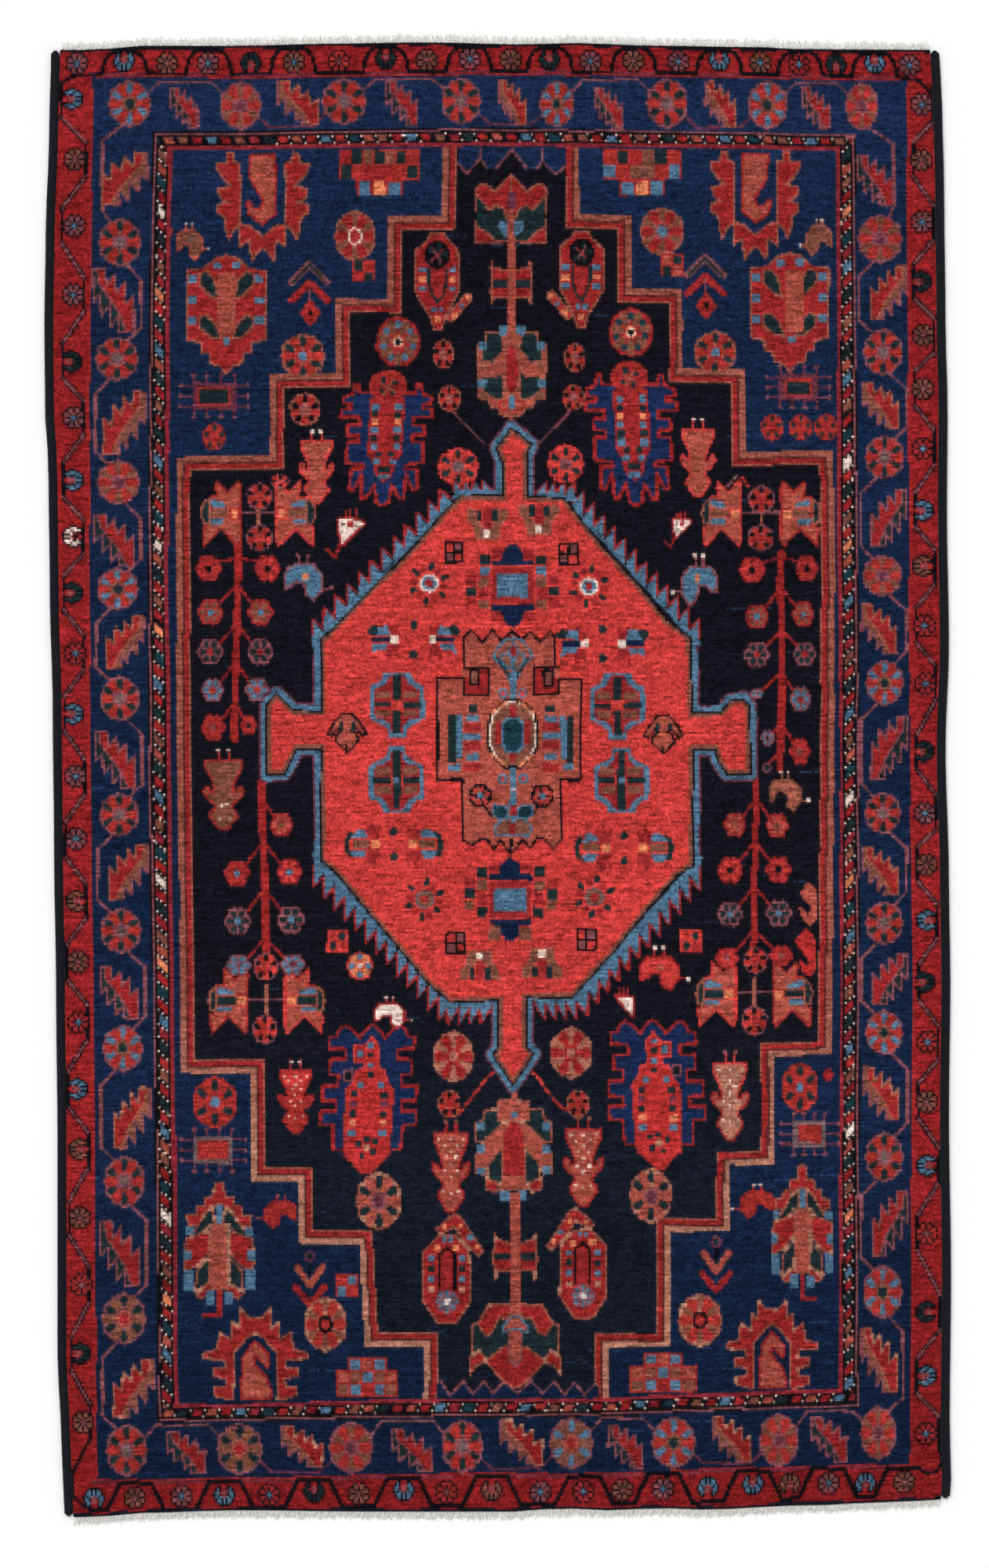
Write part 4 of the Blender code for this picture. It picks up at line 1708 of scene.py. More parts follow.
SIDE_ROSES = (
    (331, 633, 16, 16, SMALL_DARK_ROSE), (331, 686, 16, 16, SMALL_DARK_ROSE),
    (971, 637, 16, 17, SMALL_DARK_ROSE), (970, 686, 16, 16, SMALL_DARK_ROSE),
    (339, 1233, 15, 17, SMALL_DARK_ROSE), (338, 1313, 15, 18, SMALL_DARK_ROSE),
    (963, 1225, 15, 16, SMALL_DARK_ROSE), (962, 1302, 16, 18, SMALL_DARK_ROSE),
    (357, 613, 12, 8, Rosette(CORAL, BLACK, CORAL, ROSE, 4, ROSE)),
)
LOWER_ROSES = (
    (459, 1232, 16, 17, Rosette(ORANGE, SKY, IVORY, CORAL, 4, CORAL)), (578, 1347.5, 25, 31, RED_ROSE),
    (728, 1343, 26, 31, RED_ROSE), (573, 1408, 14, 17, SMALL_RED_ROSE), (737, 1408, 14, 17, SMALL_RED_ROSE),
    (483, 1532, 28, 35, SALMON_ROSE), (830, 1525, 26, 33, SALMON_ROSE),
)


@dataclass(frozen=True)
class UpperField:
    """What grows in the upper half of the field, round its upright stem."""

    def draw(self, pen: Pen) -> None:
        """Draws the flowers.

        Args:
            pen: The pen.
        """
        self.tulip(pen.at(651.8, 222))
        for x, y, flip in ((557.5, 298, 1), (741.5, 295, -1)):
            Boteh().upper(pen.at(x, y, flip))
        for side in (-1, 1):
            pen.hair(ROSE, (652 + side * 36, 564), (652 + side * 70, 530), (652 + side * 76, 520))
        draw_roses(pen, UPPER_ROSES)
        for x, y, rx, ry, drop in ((507.5, 436, 27, 31, SKY), (804.5, 424, 27, 29.5, TEAL)):
            Rosette(BROWN, CRIMSON, CRIMSON, CRIMSON, 7, RED).draw(pen, x, y, rx, ry)
            pen.wheel(x, y, rx, ry, 7, 0.0, 0.42, 0.56, 0.9, drop)
            pen.oval(ORANGE, x, y, 7.2, 8)
            pen.oval(IVORY, x, y, 5.4, 5.4)
            pen.oval(BLACK, x, y, 4.1, 4.1)
        SerratedPalmette().standing(pen.at(495, 488), -0.05)
        SerratedPalmette().standing(pen.at(802.5, 476, 1, 1.08), 0.055)
        Vase(SALMON, CORAL, TAN).draw(pen.at(403.5, 562))
        Vase(SALMON, CORAL, TAN).draw(pen.at(890, 548, 1, 1.08))
        self.pennant(pen.at(447, 661))
        self.pennant(pen.at(869, 662, 0.7, 0.72))
        Bird(SKY, ROSE).draw(pen.at(387, 720))
        Bird(SKY, ROSE, ORANGE, IVORY).draw(pen.at(891, 722, -0.92, 1.1))
        StemPalmette().upper(pen.at(652.5, 415))

    def tulip(self, pen: Pen) -> None:
        """Draws the flower at the stem's top, the stem and the horned box on it.

        Args:
            pen: The pen at the flower's top.
        """
        pen.patch(GREEN, (-46, 18), (45, 18), (45, 86), (-46, 86), rim=TAN)
        for side in pen.both():
            side.patch(INK, (0, -6), (48, -6), (48, 12), (38, 12), (34, 10), (22, 22), (10, 10), (0, 0))
            side.patch(RED, (0, 0), (8, 8), (20, 23), (33, 12), (40, 13), (46, 24), (27, 46), (20, 40),
                       (10, 44), (4, 58), (0, 60), rim=TAN)
            side.patch(RED, (45, 66), (32, 74), (18, 88), (12, 87), (45, 87), rim=TAN)
            side.patch(INK, (48, 44), (43, 54), (48, 64))
            side.patch(SKY, (3, 60), (16, 60), (17, 68), (7, 80), (2, 78))
            side.patch(RED, (4, 122), (26, 120), (24, 112), (26, 150), (25, 165), (22, 157), (4, 157),
                       rim=TAN)
            side.box(GREEN, 4, 134, 24, 144)
        pen.boxes((PLUM, -5, 22, 5, 44), (SALMON, -4, 44, 4, 78), (SALMON, -5.5, 78, 5.5, 196))

    def pennant(self, pen: Pen) -> None:
        """Draws a white three-cornered bird.

        Args:
            pen: The pen at the middle of its back.
        """
        for spike in (-7, -1, 7):
            pen.hair(RED, (spike, -10), (spike, 0))
        pen.patch(IVORY, (-15, 0), (15, 1), (18, 7), (-12, 36), (-17, 8), rim=CRIMSON)
        pen.hair(RED, (-15, 34), (-19, 50), (-31, 39))
        pen.boxes((CRIMSON, -4, 3, 4, 11), (GREEN, -12, 5, -8, 9))


@dataclass(frozen=True)
class SideField:
    """The flowering trees at the field's two sides, and the small things beside them."""

    def draw(self, pen: Pen) -> None:
        """Draws the sides.

        Args:
            pen: The pen.
        """
        for left, right, y in ((306.5, 352, 655), (945, 996, 655), (316, 363.5, 1277), (938, 986, 1268)):
            middle = (left + right) / 2
            pen.hair(ROSE, (left, y - 2), (right, y - 2))
            pen.line(TAN, 3.6, (middle, y - 20), (middle, y + 16))
            StarHead(BROWN if y < 1000 else GREEN).draw(pen.at(left, y, 1))
            StarHead(BROWN if y < 1000 else GREEN).draw(pen.at(right, y, -1))
        for tree in TREES:
            tree.draw(pen)
        draw_roses(pen, SIDE_ROSES)
        Vase(BROWN, CORAL, SALMON, IVORY).draw(pen.at(285, 970, 1.15, 1.12))
        for x, y in ((283.5, 1027), (289.5, 1026), (280, 1045), (293, 1045)):
            pen.oval(IVORY, x, y, 1.7, 1.7)
        Bird(TAN, BROWN, TAN, IVORY).draw(pen.at(1001, 995, 0.8, 0.86))
        pen.oval(INK, 996, 1020, 8, 10)
        pen.oval(ROSE, 977.5, 979, 6.4, 6.4)
        pen.oval(GREEN, 977.5, 979, 3.8, 3.8)
        pen.line(CORAL, 3.4, (981, 972), (991, 964))
        pen.patch(SALMON, (1031, 1124), (1041, 1134), (1043, 1150), (1042, 1172), (1033, 1182), (1026, 1175),
                  (1020, 1166), (1019, 1157), (1026, 1160), (1030, 1167), (1034, 1162), (1033, 1156),
                  (1020, 1141), (1024, 1133))
        pen.patch(SCARLET, (1027, 1184), (1036, 1191), (1041, 1202), (1040, 1236), (1034, 1245), (1025, 1243),
                  (1021, 1233), (1019, 1224), (1024, 1226), (1030, 1232), (1032, 1228), (1027, 1219),
                  (1012, 1200))
        pen.hair(ROSE, (926, 621), (936, 612), (940, 606))
        pen.line(CORAL, 3.2, (936, 618), (946, 608), (954, 620))
        pen.box(IVORY, 935, 607, 939, 610)


@dataclass(frozen=True)
class LowerField:
    """What grows in the lower half of the field."""

    def draw(self, pen: Pen) -> None:
        """Draws the flowers.

        Args:
            pen: The pen.
        """
        for x, y in ((430.5, 1200), (881, 1200)):
            pen.stud(CORAL, x, y, 14, 15)
            for side in (-1, 1):
                pen.oval(GREEN, x + side * 5.5, y - side * 6.5, 4.6, 5)
                pen.oval(CRIMSON, x - side * 6, y - side * 7, 4, 4.4)
        Bird(IVORY, CRIMSON, IVORY, IVORY).draw(pen.at(497, 1280, 0.78, 0.7))
        Bird(CORAL, RED, SALMON, IVORY).draw(pen.at(841, 1220, 1.0, 0.95))
        here = pen.at(795, 1270, -0.8, 0.8)
        for spike in (-7, 0, 7):
            here.hair(RED, (spike, -10), (spike, 0))
        here.patch(IVORY, (-15, 0), (15, 0), (-15, 35), rim=CRIMSON)
        SerratedPalmette().hanging(pen.at(475.5, 1306, 1))
        SerratedPalmette().hanging(pen.at(832, 1300, -1))
        pen.line(CORAL, 3.2, (631, 1367), (623, 1372), (606, 1394), (588, 1417), (580, 1424))
        pen.line(CORAL, 3.2, (676, 1367), (684, 1371), (697, 1391), (715, 1412), (732, 1420))
        draw_roses(pen, LOWER_ROSES)
        Vase(CORAL, RED, IVORY).draw(pen.at(377, 1366))
        Vase(SALMON, RED, IVORY, BROWN).draw(pen.at(575, 1445, 1.08, 1.28))
        Vase(SALMON, RED, IVORY, BROWN).draw(pen.at(744, 1440, 1.15, 1.24))
        Vase(TAN, CORAL, IVORY, ROSE).draw(pen.at(931, 1357, 1.05, 1.22))
        StemPalmette().lower(pen.at(655, 1391))
        self.stem(pen.at(657, 1522))
        for x, y, flip in ((570, 1576, 1), (743.5, 1569, -1)):
            Boteh().lower(pen.at(x, y, flip))

    def stem(self, pen: Pen) -> None:
        """Draws the lower stem, its cross bars and the flower at its foot.

        Args:
            pen: The pen at the stem's top.
        """
        for side in pen.both():
            side.patch(RED, (6, 65), (24, 58), (26, 52), (28, 84), (25, 110), (22, 98), (6, 98), rim=TAN)
            side.box(GREEN, 6, 76, 26, 85)
            side.patch(GREEN, (6, 156), (26, 158), (56, 168), (56, 206), (46, 200), (34, 216), (14, 196),
                       (6, 196), rim=TAN)
            side.patch(RED, (3, 142), (14, 142), (34, 143), (48, 166), (38, 182), (30, 178), (20, 158),
                       (10, 160), rim=TAN)
            side.patch(RED, (34, 216), (46, 200), (52, 208), (58, 207), (58, 231), (48, 218), rim=TAN)
        pen.patch(RED, *both_halves(((0, 196), (14, 196), (38, 214), (20, 234), (4, 248), (0, 249))), rim=TAN)
        pen.box(SALMON, -6.5, 0, 6.5, 162)
        pen.patch(SALMON, (-8, 168), (8, 168), (8, 212), (0, 220), (-8, 212), rim=ROSE)
        pen.patch(SALMON, (-6, 158), (6, 158), (17, 172), (15, 178), (8, 174), (-8, 174), (-15, 178),
                  (-17, 172), rim=SKY)


@dataclass(frozen=True)
class Corners:
    """The blue corner pieces and what stands on them."""

    def draw(self, pen: Pen) -> None:
        """Draws all four corners.

        Args:
            pen: The pen.
        """
        HangingFlower().draw(pen.at(335, 194, 1.0))
        HangingFlower().draw(pen.at(963, 192, -0.97))
        Bird(BROWN, SALMON, GREY, IVORY).draw(pen.at(241, 294, 0.66, 0.80))
        Bird(BROWN, TAN, BROWN, IVORY).draw(pen.at(1044, 289, -0.66, 0.8))
        CornerPalmette().draw(pen, 288.5, 325, 1.0, 0.0)
        CornerPalmette().draw(pen, 1007, 322, 0.99, 6.0)
        Chevrons().hanging(pen.at(394.7, 333))
        Chevrons().hanging(pen.at(899.5, 324))
        draw_roses(pen, CORNER_ROSES)
        pen.oval(CORAL, 452.5, 301, 4, 5)
        small = Checker(12.6, 2.0, CORAL)
        small.draw(pen, 463.7, 331, 13.4, ((GREEN, RED), (RED, GREEN)))
        small.draw(pen, 857, 323, 14.2, ((SALMON, GREEN), (GREEN, SALMON)))
        small.draw(pen, 441.5, 1625, 14.4, ((CORAL, SKY), (SKY, CORAL)))
        self.upper_checker(pen, 483.5, 190, 14.1, (
            (RED, GREEN, BROWN, GREEN, TAN, GREEN, CORAL), (GREEN, CORAL, RED, RED, RED, CORAL, GREEN)))
        self.upper_checker(pen, 818.5, 190, 16.4, (
            (CORAL, GREEN, RED, BROWN, GREEN, CORAL), (SKY, CORAL, BROWN, BROWN, CORAL, SKY)))
        self.lower_checker(pen, 468.5, 1731, 15.2)
        self.lower_checker(pen, 845.5, 1725, 16.4)
        CombBox(PLUM, CORAL, GREEN).draw(pen.at(273, 505), 27, 18)
        CombBox(PLUM, CORAL, GREEN).draw(pen.at(1018, 494), 24, 17)
        CombBox(GREY).draw(pen.at(272, 1467), 25, 18)
        CombBox(GREY).draw(pen.at(1032, 1446), 20.5, 17)
        pen.oval(RED, 1056, 1371, 6, 9)
        LowerPalmette().draw(pen.at(279.5, 1508))
        LowerPalmette().draw(pen.at(1023, 1487, -0.86))
        Bird(CORAL, RED, CORAL, ROSE).draw(pen.at(358, 1533, -0.82, 0.72))
        Bird(CORAL, RED, CORAL, IVORY).draw(pen.at(965, 1520, -0.86, 0.72))
        Chevrons().standing(pen.at(395, 1596, 1, -1))
        Chevrons().standing(pen.at(913, 1578, 1, -1))
        draw_roses(pen, FOOT_ROSES)
        StandingFlower().draw(pen.at(325.5, 1668, 1.0, 1.0))
        StandingFlower().draw(pen.at(984.5, 1658, 0.87, 0.96))

    def upper_checker(self, pen: Pen, x: float, y: float, size: float,
                      rows: tuple[tuple[Dye, ...], ...]) -> None:
        """Draws the hanging stepped checker of an upper corner.

        Args:
            pen: The pen.
            x: Its middle line.
            y: Its top.
            size: Its squares' width.
            rows: The dyes of its two long rows.
        """
        Checker(size, 1.6, CORAL).draw(pen, x, y, 18.5, rows)
        Checker(18.6, 3.4, RED).draw(pen, x, y + 38, 20, ((SKY, ORANGE, SKY),))

    def lower_checker(self, pen: Pen, x: float, y: float, size: float) -> None:
        """Draws the standing stepped checker of a lower corner.

        Args:
            pen: The pen.
            x: Its middle line.
            y: Its top.
            size: Its squares' width.
        """
        checker = Checker(size, 2.6, CORAL)
        checker.draw(pen, x, y, 15, ((SKY, SALMON, SKY),))
        checker.draw(pen, x, y + 16, 16, ((SALMON, BROWN, SKY, BROWN, SALMON),))
        checker.draw(pen, x, y + 33, 16, ((BROWN, SKY, RED, SKY, BROWN),))


# ---- Medallion -----------------------------------------------------------------------------------
# The medallion's black line, clockwise from the tip of its upper finial.
MEDALLION_LINE: tuple[Point, ...] = (
    (652, 545), (678, 566), (672, 580), (672, 633), (719, 635), (765, 692), (817, 749), (850, 790),
    (881, 814), (883, 909), (919, 908), (932, 893), (948, 891), (956, 901), (957, 987), (927, 988),
    (915, 970), (912, 956), (884, 956), (884, 1104), (864, 1116), (817, 1171), (783, 1214), (748, 1252),
    (731, 1272), (671, 1273), (671, 1335), (681, 1344), (654, 1385), (628, 1345), (635, 1336), (635, 1276),
    (574, 1279), (543, 1252), (512, 1214), (464, 1157), (429, 1114), (409, 1098), (409, 955), (379, 955),
    (363, 987), (340, 989), (340, 898), (353, 884), (374, 906), (409, 907), (409, 815), (426, 800),
    (469, 755), (521, 704), (565, 654), (588, 632), (640, 632), (640, 590), (633, 571),
)
# Stretches of that line with a plain blue band outside them: first and last corner.
BAND_RUNS: tuple[tuple[int, int], ...] = ((51, 58), (8, 19), (25, 31), (37, 46))
# Rows of teeth: where they begin and end on the line, how many, and how high; negative hangs down.
TEETH: tuple[tuple[Point, Point, int, float], ...] = (
    ((576, 641), (398, 822), 12, 34), ((628, 632), (578, 632), 4, 20), ((684, 634), (732, 634), 4, 20),
    ((730, 645), (892, 822), 12, 34), ((572, 1277), (400, 1092), 13, -41), ((627, 1279), (571, 1280), 4, -27),
    ((681, 1273), (735, 1273), 4, -27), ((736, 1270), (893, 1096), 12, -41),
)


@dataclass(frozen=True)
class Medallion:
    """The coral medallion: its toothed edge, two finials and two side arms, and the cross inside it."""

    band_width: float = 15.2  # of the blue band outside the black line, in drawing units
    band_rim: float = 4.4
    open_teeth: float = 30.0  # teeth higher than this stand apart, with the ground between them

    @staticmethod
    def teeth() -> Iterator[tuple[tuple, Point, Point, Point]]:
        """Walks along the rows of teeth.

        Yields:
            The tooth's row, where the tooth begins, where it ends, and the step between the two.
        """
        for row in TEETH:
            (bx, by), (ex, ey), count, _ = row
            step = ((ex - bx) / count, (ey - by) / count)
            for i in range(count):
                near = (bx + step[0] * i, by + step[1] * i)
                yield row, near, (near[0] + step[0], near[1] + step[1]), step

    def draw(self, pen: Pen) -> None:
        """Draws the medallion.

        Args:
            pen: The pen.
        """
        self.edge(pen)
        self.sprigs(pen)
        self.tables(pen)
        self.bow_ties(pen)
        for x, y, tall in ((506.5, 898, -1), (505.5, 995, 1), (787.5, 900, -1), (792.5, 996, 1)):
            self.hexagon(pen.at(x, y, 1, tall), tall > 0)
        for x, y in ((442.5, 909), (846, 911)):
            self.plant(pen.at(x, y))
        self.cross(pen)
        self.stem(pen.at(654, 812))

    def edge(self, pen: Pen) -> None:
        """Draws the bands and teeth outside the black line, the line, and the coral ground.

        Args:
            pen: The pen.
        """
        around = MEDALLION_LINE * 2
        for start, stop in BAND_RUNS:
            pen.line(PLUM, self.band_width + self.band_rim, *around[start:stop + 1])
        for (_, _, _, height), (nx, ny), (fx, fy), _ in self.teeth():
            gap = 0.14 if height > self.open_teeth else 0.26
            pen.line(CRIMSON, 3.4, (fx, fy - height * 0.3), (fx, fy - height * 0.94))
            pen.line(CRIMSON, 3.0, (fx, fy - height * 0.94), (nx, ny - height * gap))
        for start, stop in BAND_RUNS:
            pen.line(SKY, self.band_width, *around[start:stop + 1])
        for (bx, by), (ex, ey), _, height in TEETH:
            inward = 2.5 if height > 0 else -2.5
            pen.line(SKY, 3.0 if height > self.open_teeth else 5.5, (bx, by + inward), (ex, ey + inward))
        for (_, _, _, height), near, (fx, fy), (sx, sy) in self.teeth():
            waist, root = (0.5, 0.03) if height > self.open_teeth else (0.58, 0.16)
            pen.patch(SKY, near, (fx, fy), (fx + (1.8 if sx < 0 else -1.8), fy - height * 0.90),
                      (fx - sx * 0.45, fy - sy * 0.45 - height * waist), (near[0], near[1] - height * root))
        for dye, depth in ((BLACK, -1.0), (BROWN, 1.4), (CORAL, 4.0)):
            pen.patch(dye, *inset(MEDALLION_LINE, depth))
        inner = inset(MEDALLION_LINE, 3.8) * 2
        pen.line(BROWN, 3.6, *inner[:len(MEDALLION_LINE) + 1])
        pen.boxes((CORAL, 647, 620, 665, 650), (CORAL, 643, 1250, 663, 1300), (CORAL, 400, 914, 430, 948),
                  (CORAL, 860, 915, 892, 949))

    def sprigs(self, pen: Pen) -> None:
        """Draws the forked sprigs, the small windows and the wheels in the medallion's corners.

        Args:
            pen: The pen.
        """
        for x, y, tip in ((621, 649, 1), (687, 643, 1), (611.5, 1251, -1), (691, 1248, -1)):
            here = pen.at(x, y, 1, tip)
            for side in here.both():
                side.patch(BROWN, (3, 26), (12, 16), (16, 2), (25, 2), (24, 12), (16, 22), (14, 38), (3, 38),
                           rim=TAN)
                side.box(GREEN, 6, 1, 13, 16)
            here.boxes((CRIMSON, -4.5, 0, 5, 26), (IVORY, -4, 27, 4.5, 36))
        for x, y in ((579, 704), (725, 706), (581, 1202), (748, 1199)):
            here = pen.at(x, y)
            here.box(BLACK, -12.5, -14.5, 12.5, 14.5)
            for sx in (-5.6, 5.6):
                for sy in (-6.6, 6.6):
                    here.box(CORAL if sx * sy > 0 else ROSE, sx - 4.2, sy - 5, sx + 4.2, sy + 5)
        for x, y, rim in ((547, 744, IVORY), (751, 748, IVORY), (541, 1147, GREY), (758, 1144, GREY)):
            pen.wheel(x, y, 27, 28, 6, 0.15, 0.30, 0.62, 1.0, GREEN)
            pen.wheel(x, y, 26, 27, 6, 0.65, 0.40, 0.55, 0.95, CRIMSON)
            pen.oval(rim, x, y, 12.5, 11.5)
            pen.oval(SKY if rim is IVORY else BROWN, x, y, 9, 8.5)
            pen.oval(RED, x, y, 5, 5)

    def tables(self, pen: Pen) -> None:
        """Draws the framed blue squares over and under the cross.

        Args:
            pen: The pen.
        """
        upper = (654, 746, 1, CRIMSON, -46, -38, 12, 14.2,
                 (GREEN, SKY, BROWN, CRIMSON, BROWN), (CRIMSON, GREEN, CRIMSON))
        lower = (650.5, 1148, -1, BROWN, -52, -22, 13, 17, (GREEN, CRIMSON, BROWN, GREEN),
                 (BROWN, GREEN, CRIMSON))
        for x, y, tip, cap, cap_top, top, tall, pitch, inner, outer in (upper, lower):
            here = pen.at(x, y, 1, tip)
            for side in here.both():
                side.box(cap, 12, cap_top, 27, -34)
                for number, dye in enumerate(inner):
                    side.box(dye, 30, top + number * pitch, 43, top + tall + number * pitch)
                for number, dye in enumerate(outer):
                    side.box(dye, 46, -12 + number * 14.2, 59, number * 14.2)
                side.box(CRIMSON, 12, 36, 27, 46)
            here.patch(NAVY, (-5, -52), (5, -52), (12, -42), (12, -32), (27, -31), (27, -25), (-27, -25),
                       (-27, -31), (-12, -32), (-12, -42))
            here.patch(CRIMSON, (-27, -23), (27, -23), (27, 24), (-27, 24))
            here.box(SKY, -20, -15, 20, 16)
            here.patch(NAVY, (-28, 25), (28, 25), (28, 33), (14, 34), (12, 46), (0, 55), (-12, 46), (-14, 34),
                       (-28, 33))

    def bow_ties(self, pen: Pen) -> None:
        """Draws the winged bows on both sides, two over and two under the cross.

        Args:
            pen: The pen.
        """
        for x, y in ((527.5, 816), (768.5, 821)):
            here = pen.at(x, y)
            for side in here.both():
                side.patch(CRIMSON, (20, -5), (19, -22), (24, -15), (30, -19), (34, -26), (34, -12),
                           (40, -15), (30, -6))
                side.patch(CRIMSON, (20, 6), (19, 26), (25, 18), (31, 22), (35, 30), (36, 14), (30, 6))
                side.patch(SKY, (30, -7), (33, -18), (44, -17), (50, -8), (50, -6), (30, -5))
                side.patch(SKY, (32, 5), (52, 5), (54, 18), (46, 12), (36, 13))
                side.boxes((NAVY, 29, -4, 53, 3), (IVORY, 19, -5, 29, 5))
                side.patch(GREEN, (44, -17), (52, -19), (60, -12), (56, -5), (48, -7))
            for end in (-1, 1):
                here.patch(GREEN, (0, end * 12), (5, end * 15), (5, end * 22), (0, end * 25), (-5, end * 22),
                           (-5, end * 15))
        for x, y in ((502, 1077), (796, 1082)):
            here = pen.at(x, y)
            for side in here.both():
                side.patch(CRIMSON, (18, -7), (16, -26), (22, -18), (28, -30), (33, -20), (38, -26), (33, -7))
                side.patch(CRIMSON, (18, 6), (16, 26), (22, 18), (28, 30), (33, 20), (38, 26), (33, 6))
                side.patch(SKY, (34, -8), (36, -18), (46, -19), (56, -8))
                side.patch(SKY, (34, 7), (56, 8), (50, 17), (38, 17))
                side.boxes((BROWN, 31, -6, 53, 5), (ORANGE, 19, -6, 29, 5))
                side.patch(GREEN, (50, -17), (60, -14), (64, 0), (60, 14), (52, 16), (56, 8), (56, -8))
            for end in (-1, 1):
                here.oval(GREEN, 0, end * 16, 5, 5.5)

    def hexagon(self, pen: Pen, barred: bool) -> None:
        """Draws a quartered figure in a stepped blue frame.

        Args:
            pen: The pen at its middle, turned so that its narrow end is up.
            barred: True if the bar across it runs right through.
        """
        pen.patch(SKY, *both_halves(((11, -43), (12, -32), (20, -26), (28, -22), (35, -18), (35, 24),
                                     (26, 26), (20, 32), (17, 41), (0, 41))))
        pen.patch(RED, *both_halves(((6, -36), (8, -27), (16, -20), (24, -16), (29, -13), (29, 18), (22, 21),
                                     (14, 27), (10, 35), (0, 35))))
        for side in pen.both():
            for top in (-17, 7):
                side.boxes((CRIMSON, 8, top - 2, 27, top + 13), (BROWN, 8, top, 26, top + 10))
            side.box(GREEN, 6 if barred else 8, -4, 30, 4 if barred else 3)
        pen.boxes((CRIMSON, -8, -36, 8, 38), (GREEN, -5, -38, 5, -7), (GREEN, -5, 6, 5, 37),
                  (CORAL, -8, -7, 8, 6))
        if barred:
            pen.boxes((GREEN, -5, -8, 5, 8), (SKY, -4, -4, 4, 4))

    def plant(self, pen: Pen) -> None:
        """Draws a drooping plant at the foot of a side arm.

        Args:
            pen: The pen at its top.
        """
        for side in pen.both():
            side.patch(SALMON, (0, 1), (8, 3), (17, 13), (25, 27), (20, 30), (10, 18), (5, 22), (13, 28),
                       (14, 36), (0, 51), rim=BLACK)
            side.hair(CRIMSON, (0, 1), (0, 18))
            side.oval(GREEN, 8, 17, 3.2, 6.5)
        pen.box(SALMON, -4, 4, 4, 40)

    def cross(self, pen: Pen) -> None:
        """Draws the tan cross with its notched ends.

        Args:
            pen: The pen.
        """
        pen.patch(SALMON, (591, 814), (601, 803), (615, 819), (628, 803), (639, 817), (653, 805), (665, 816),
                  (677, 805), (689, 819), (702, 805), (708, 814), (708, 866), (741, 866), (741, 995),
                  (715, 995), (716, 1071), (706, 1082), (693, 1069), (685, 1068), (676, 1082), (667, 1071),
                  (651, 1090), (638, 1071), (630, 1083), (620, 1069), (614, 1070), (601, 1078), (590, 1071),
                  (590, 994), (558, 994), (558, 865), (592, 865), rim=BLACK)
        for side in pen.both(652):
            side.patch(RED, (29, 852), (61, 852), (61, 886), (29, 886), rim=BLACK)
            side.patch(BROWN, (41, 855), (52, 855), (52, 874), (41, 874), rim=BLACK)
            side.boxes((SALMON, 53, 852, 63, 864), (GREEN, 71, 912, 80, 973), (SKY, 62, 912, 70, 968),
                       (SKY, 42, 912, 58, 920), (SKY, 40, 935, 62, 943), (SKY, 42, 961, 58, 970),
                       (SKY, 66, 974, 80, 983), (GREEN, 44, 899, 55, 908))
            for top in (922, 945, 973):
                side.box(CRIMSON, 40, top, 61, top + 11)
            side.line(BLACK, 3.2, (36, 1026), (25, 1041))
            side.oval(BLACK, 40, 1015, 15, 15)
            side.wheel(40, 1015, 14, 14, 6, 0.3, 0.52, 0.35, 0.92, CORAL)
            side.wheel(40, 1015, 14, 14, 6, 0.8, 0.30, 0.35, 0.85, TAN)
            side.oval(SKY, 40, 1015, 4, 4)

    def stem(self, pen: Pen) -> None:
        """Draws the cross's own stem, from the bud at its top to the flower at its foot.

        Args:
            pen: The pen at the bud's top.
        """
        for side in pen.both():
            side.patch(TAN, (0, 2), (10, 4), (20, 14), (25, 26), (12, 40), (4, 56), (0, 56), rim=SKY)
            side.patch(BROWN, (4, 22), (14, 22), (14, 32), (6, 40), (0, 40), rim=SKY)
            side.line(TEAL, 3.4, (20, 27), (4, 52))
            side.oval(SKY, 12.5, 72, 6, 6.5)
            side.oval(CORAL, 12.5, 72, 3, 3.5)
            side.oval(SKY, 13, 181, 6.5, 7)
            side.oval(CORAL, 13, 181, 3.2, 3.6)
        pen.oval(SKY, 0, 18, 7, 9)
        pen.oval(RED, 0, 18, 4.6, 7)
        pen.box(SKY, -4, 44, 4, 82)
        self.heart(pen.at(0, 124))
        pen.boxes((SKY, -4.5, 167, 4.5, 220), (IVORY, -4.5, 194, 4.5, 197))
        for side in pen.both():
            side.patch(TEAL, (6, 218), (24, 214), (26, 226), (14, 236), (6, 236), rim=SKY)
            side.patch(BROWN, (0, 230), (14, 232), (24, 244), (20, 254), (8, 254), (0, 254), rim=SKY)
        pen.boxes((RED, -4, 216, 4, 228), (RED, -5, 240, 4, 253))
        pen.hair(BLACK, (-2, 258), (-2, 276))

    def heart(self, pen: Pen) -> None:
        """Draws the eight-sided heart of the cross.

        Args:
            pen: The pen at its middle.
        """
        half = ((0, -43), (10, -42), (28, -26), (31, -12), (31, 16), (26, 28), (10, 43), (0, 43))
        pen.patch(IVORY, *both_halves(half), rim=BLACK, width=3.2)
        for side in pen.both():
            for tip in (-1, 1):
                side.line(ORANGE, 3.4, (8, tip * 41), (27, tip * 26))
        pen.patch(BROWN, *inset(both_halves(half), 4.0))
        for side in pen.both():
            side.box(RED, 15, -16, 23, 14)
        pen.boxes((RED, -5, -37, 4, -22), (RED, -5, 24, 4, 36))
        pen.patch(SKY, *both_halves(((0, -22), (8, -21), (14, -14), (14, 16), (8, 24), (0, 25))))
        pen.patch(TEAL, *both_halves(((0, -19), (6, -18), (11, -12), (11, 14), (6, 21), (0, 22))))


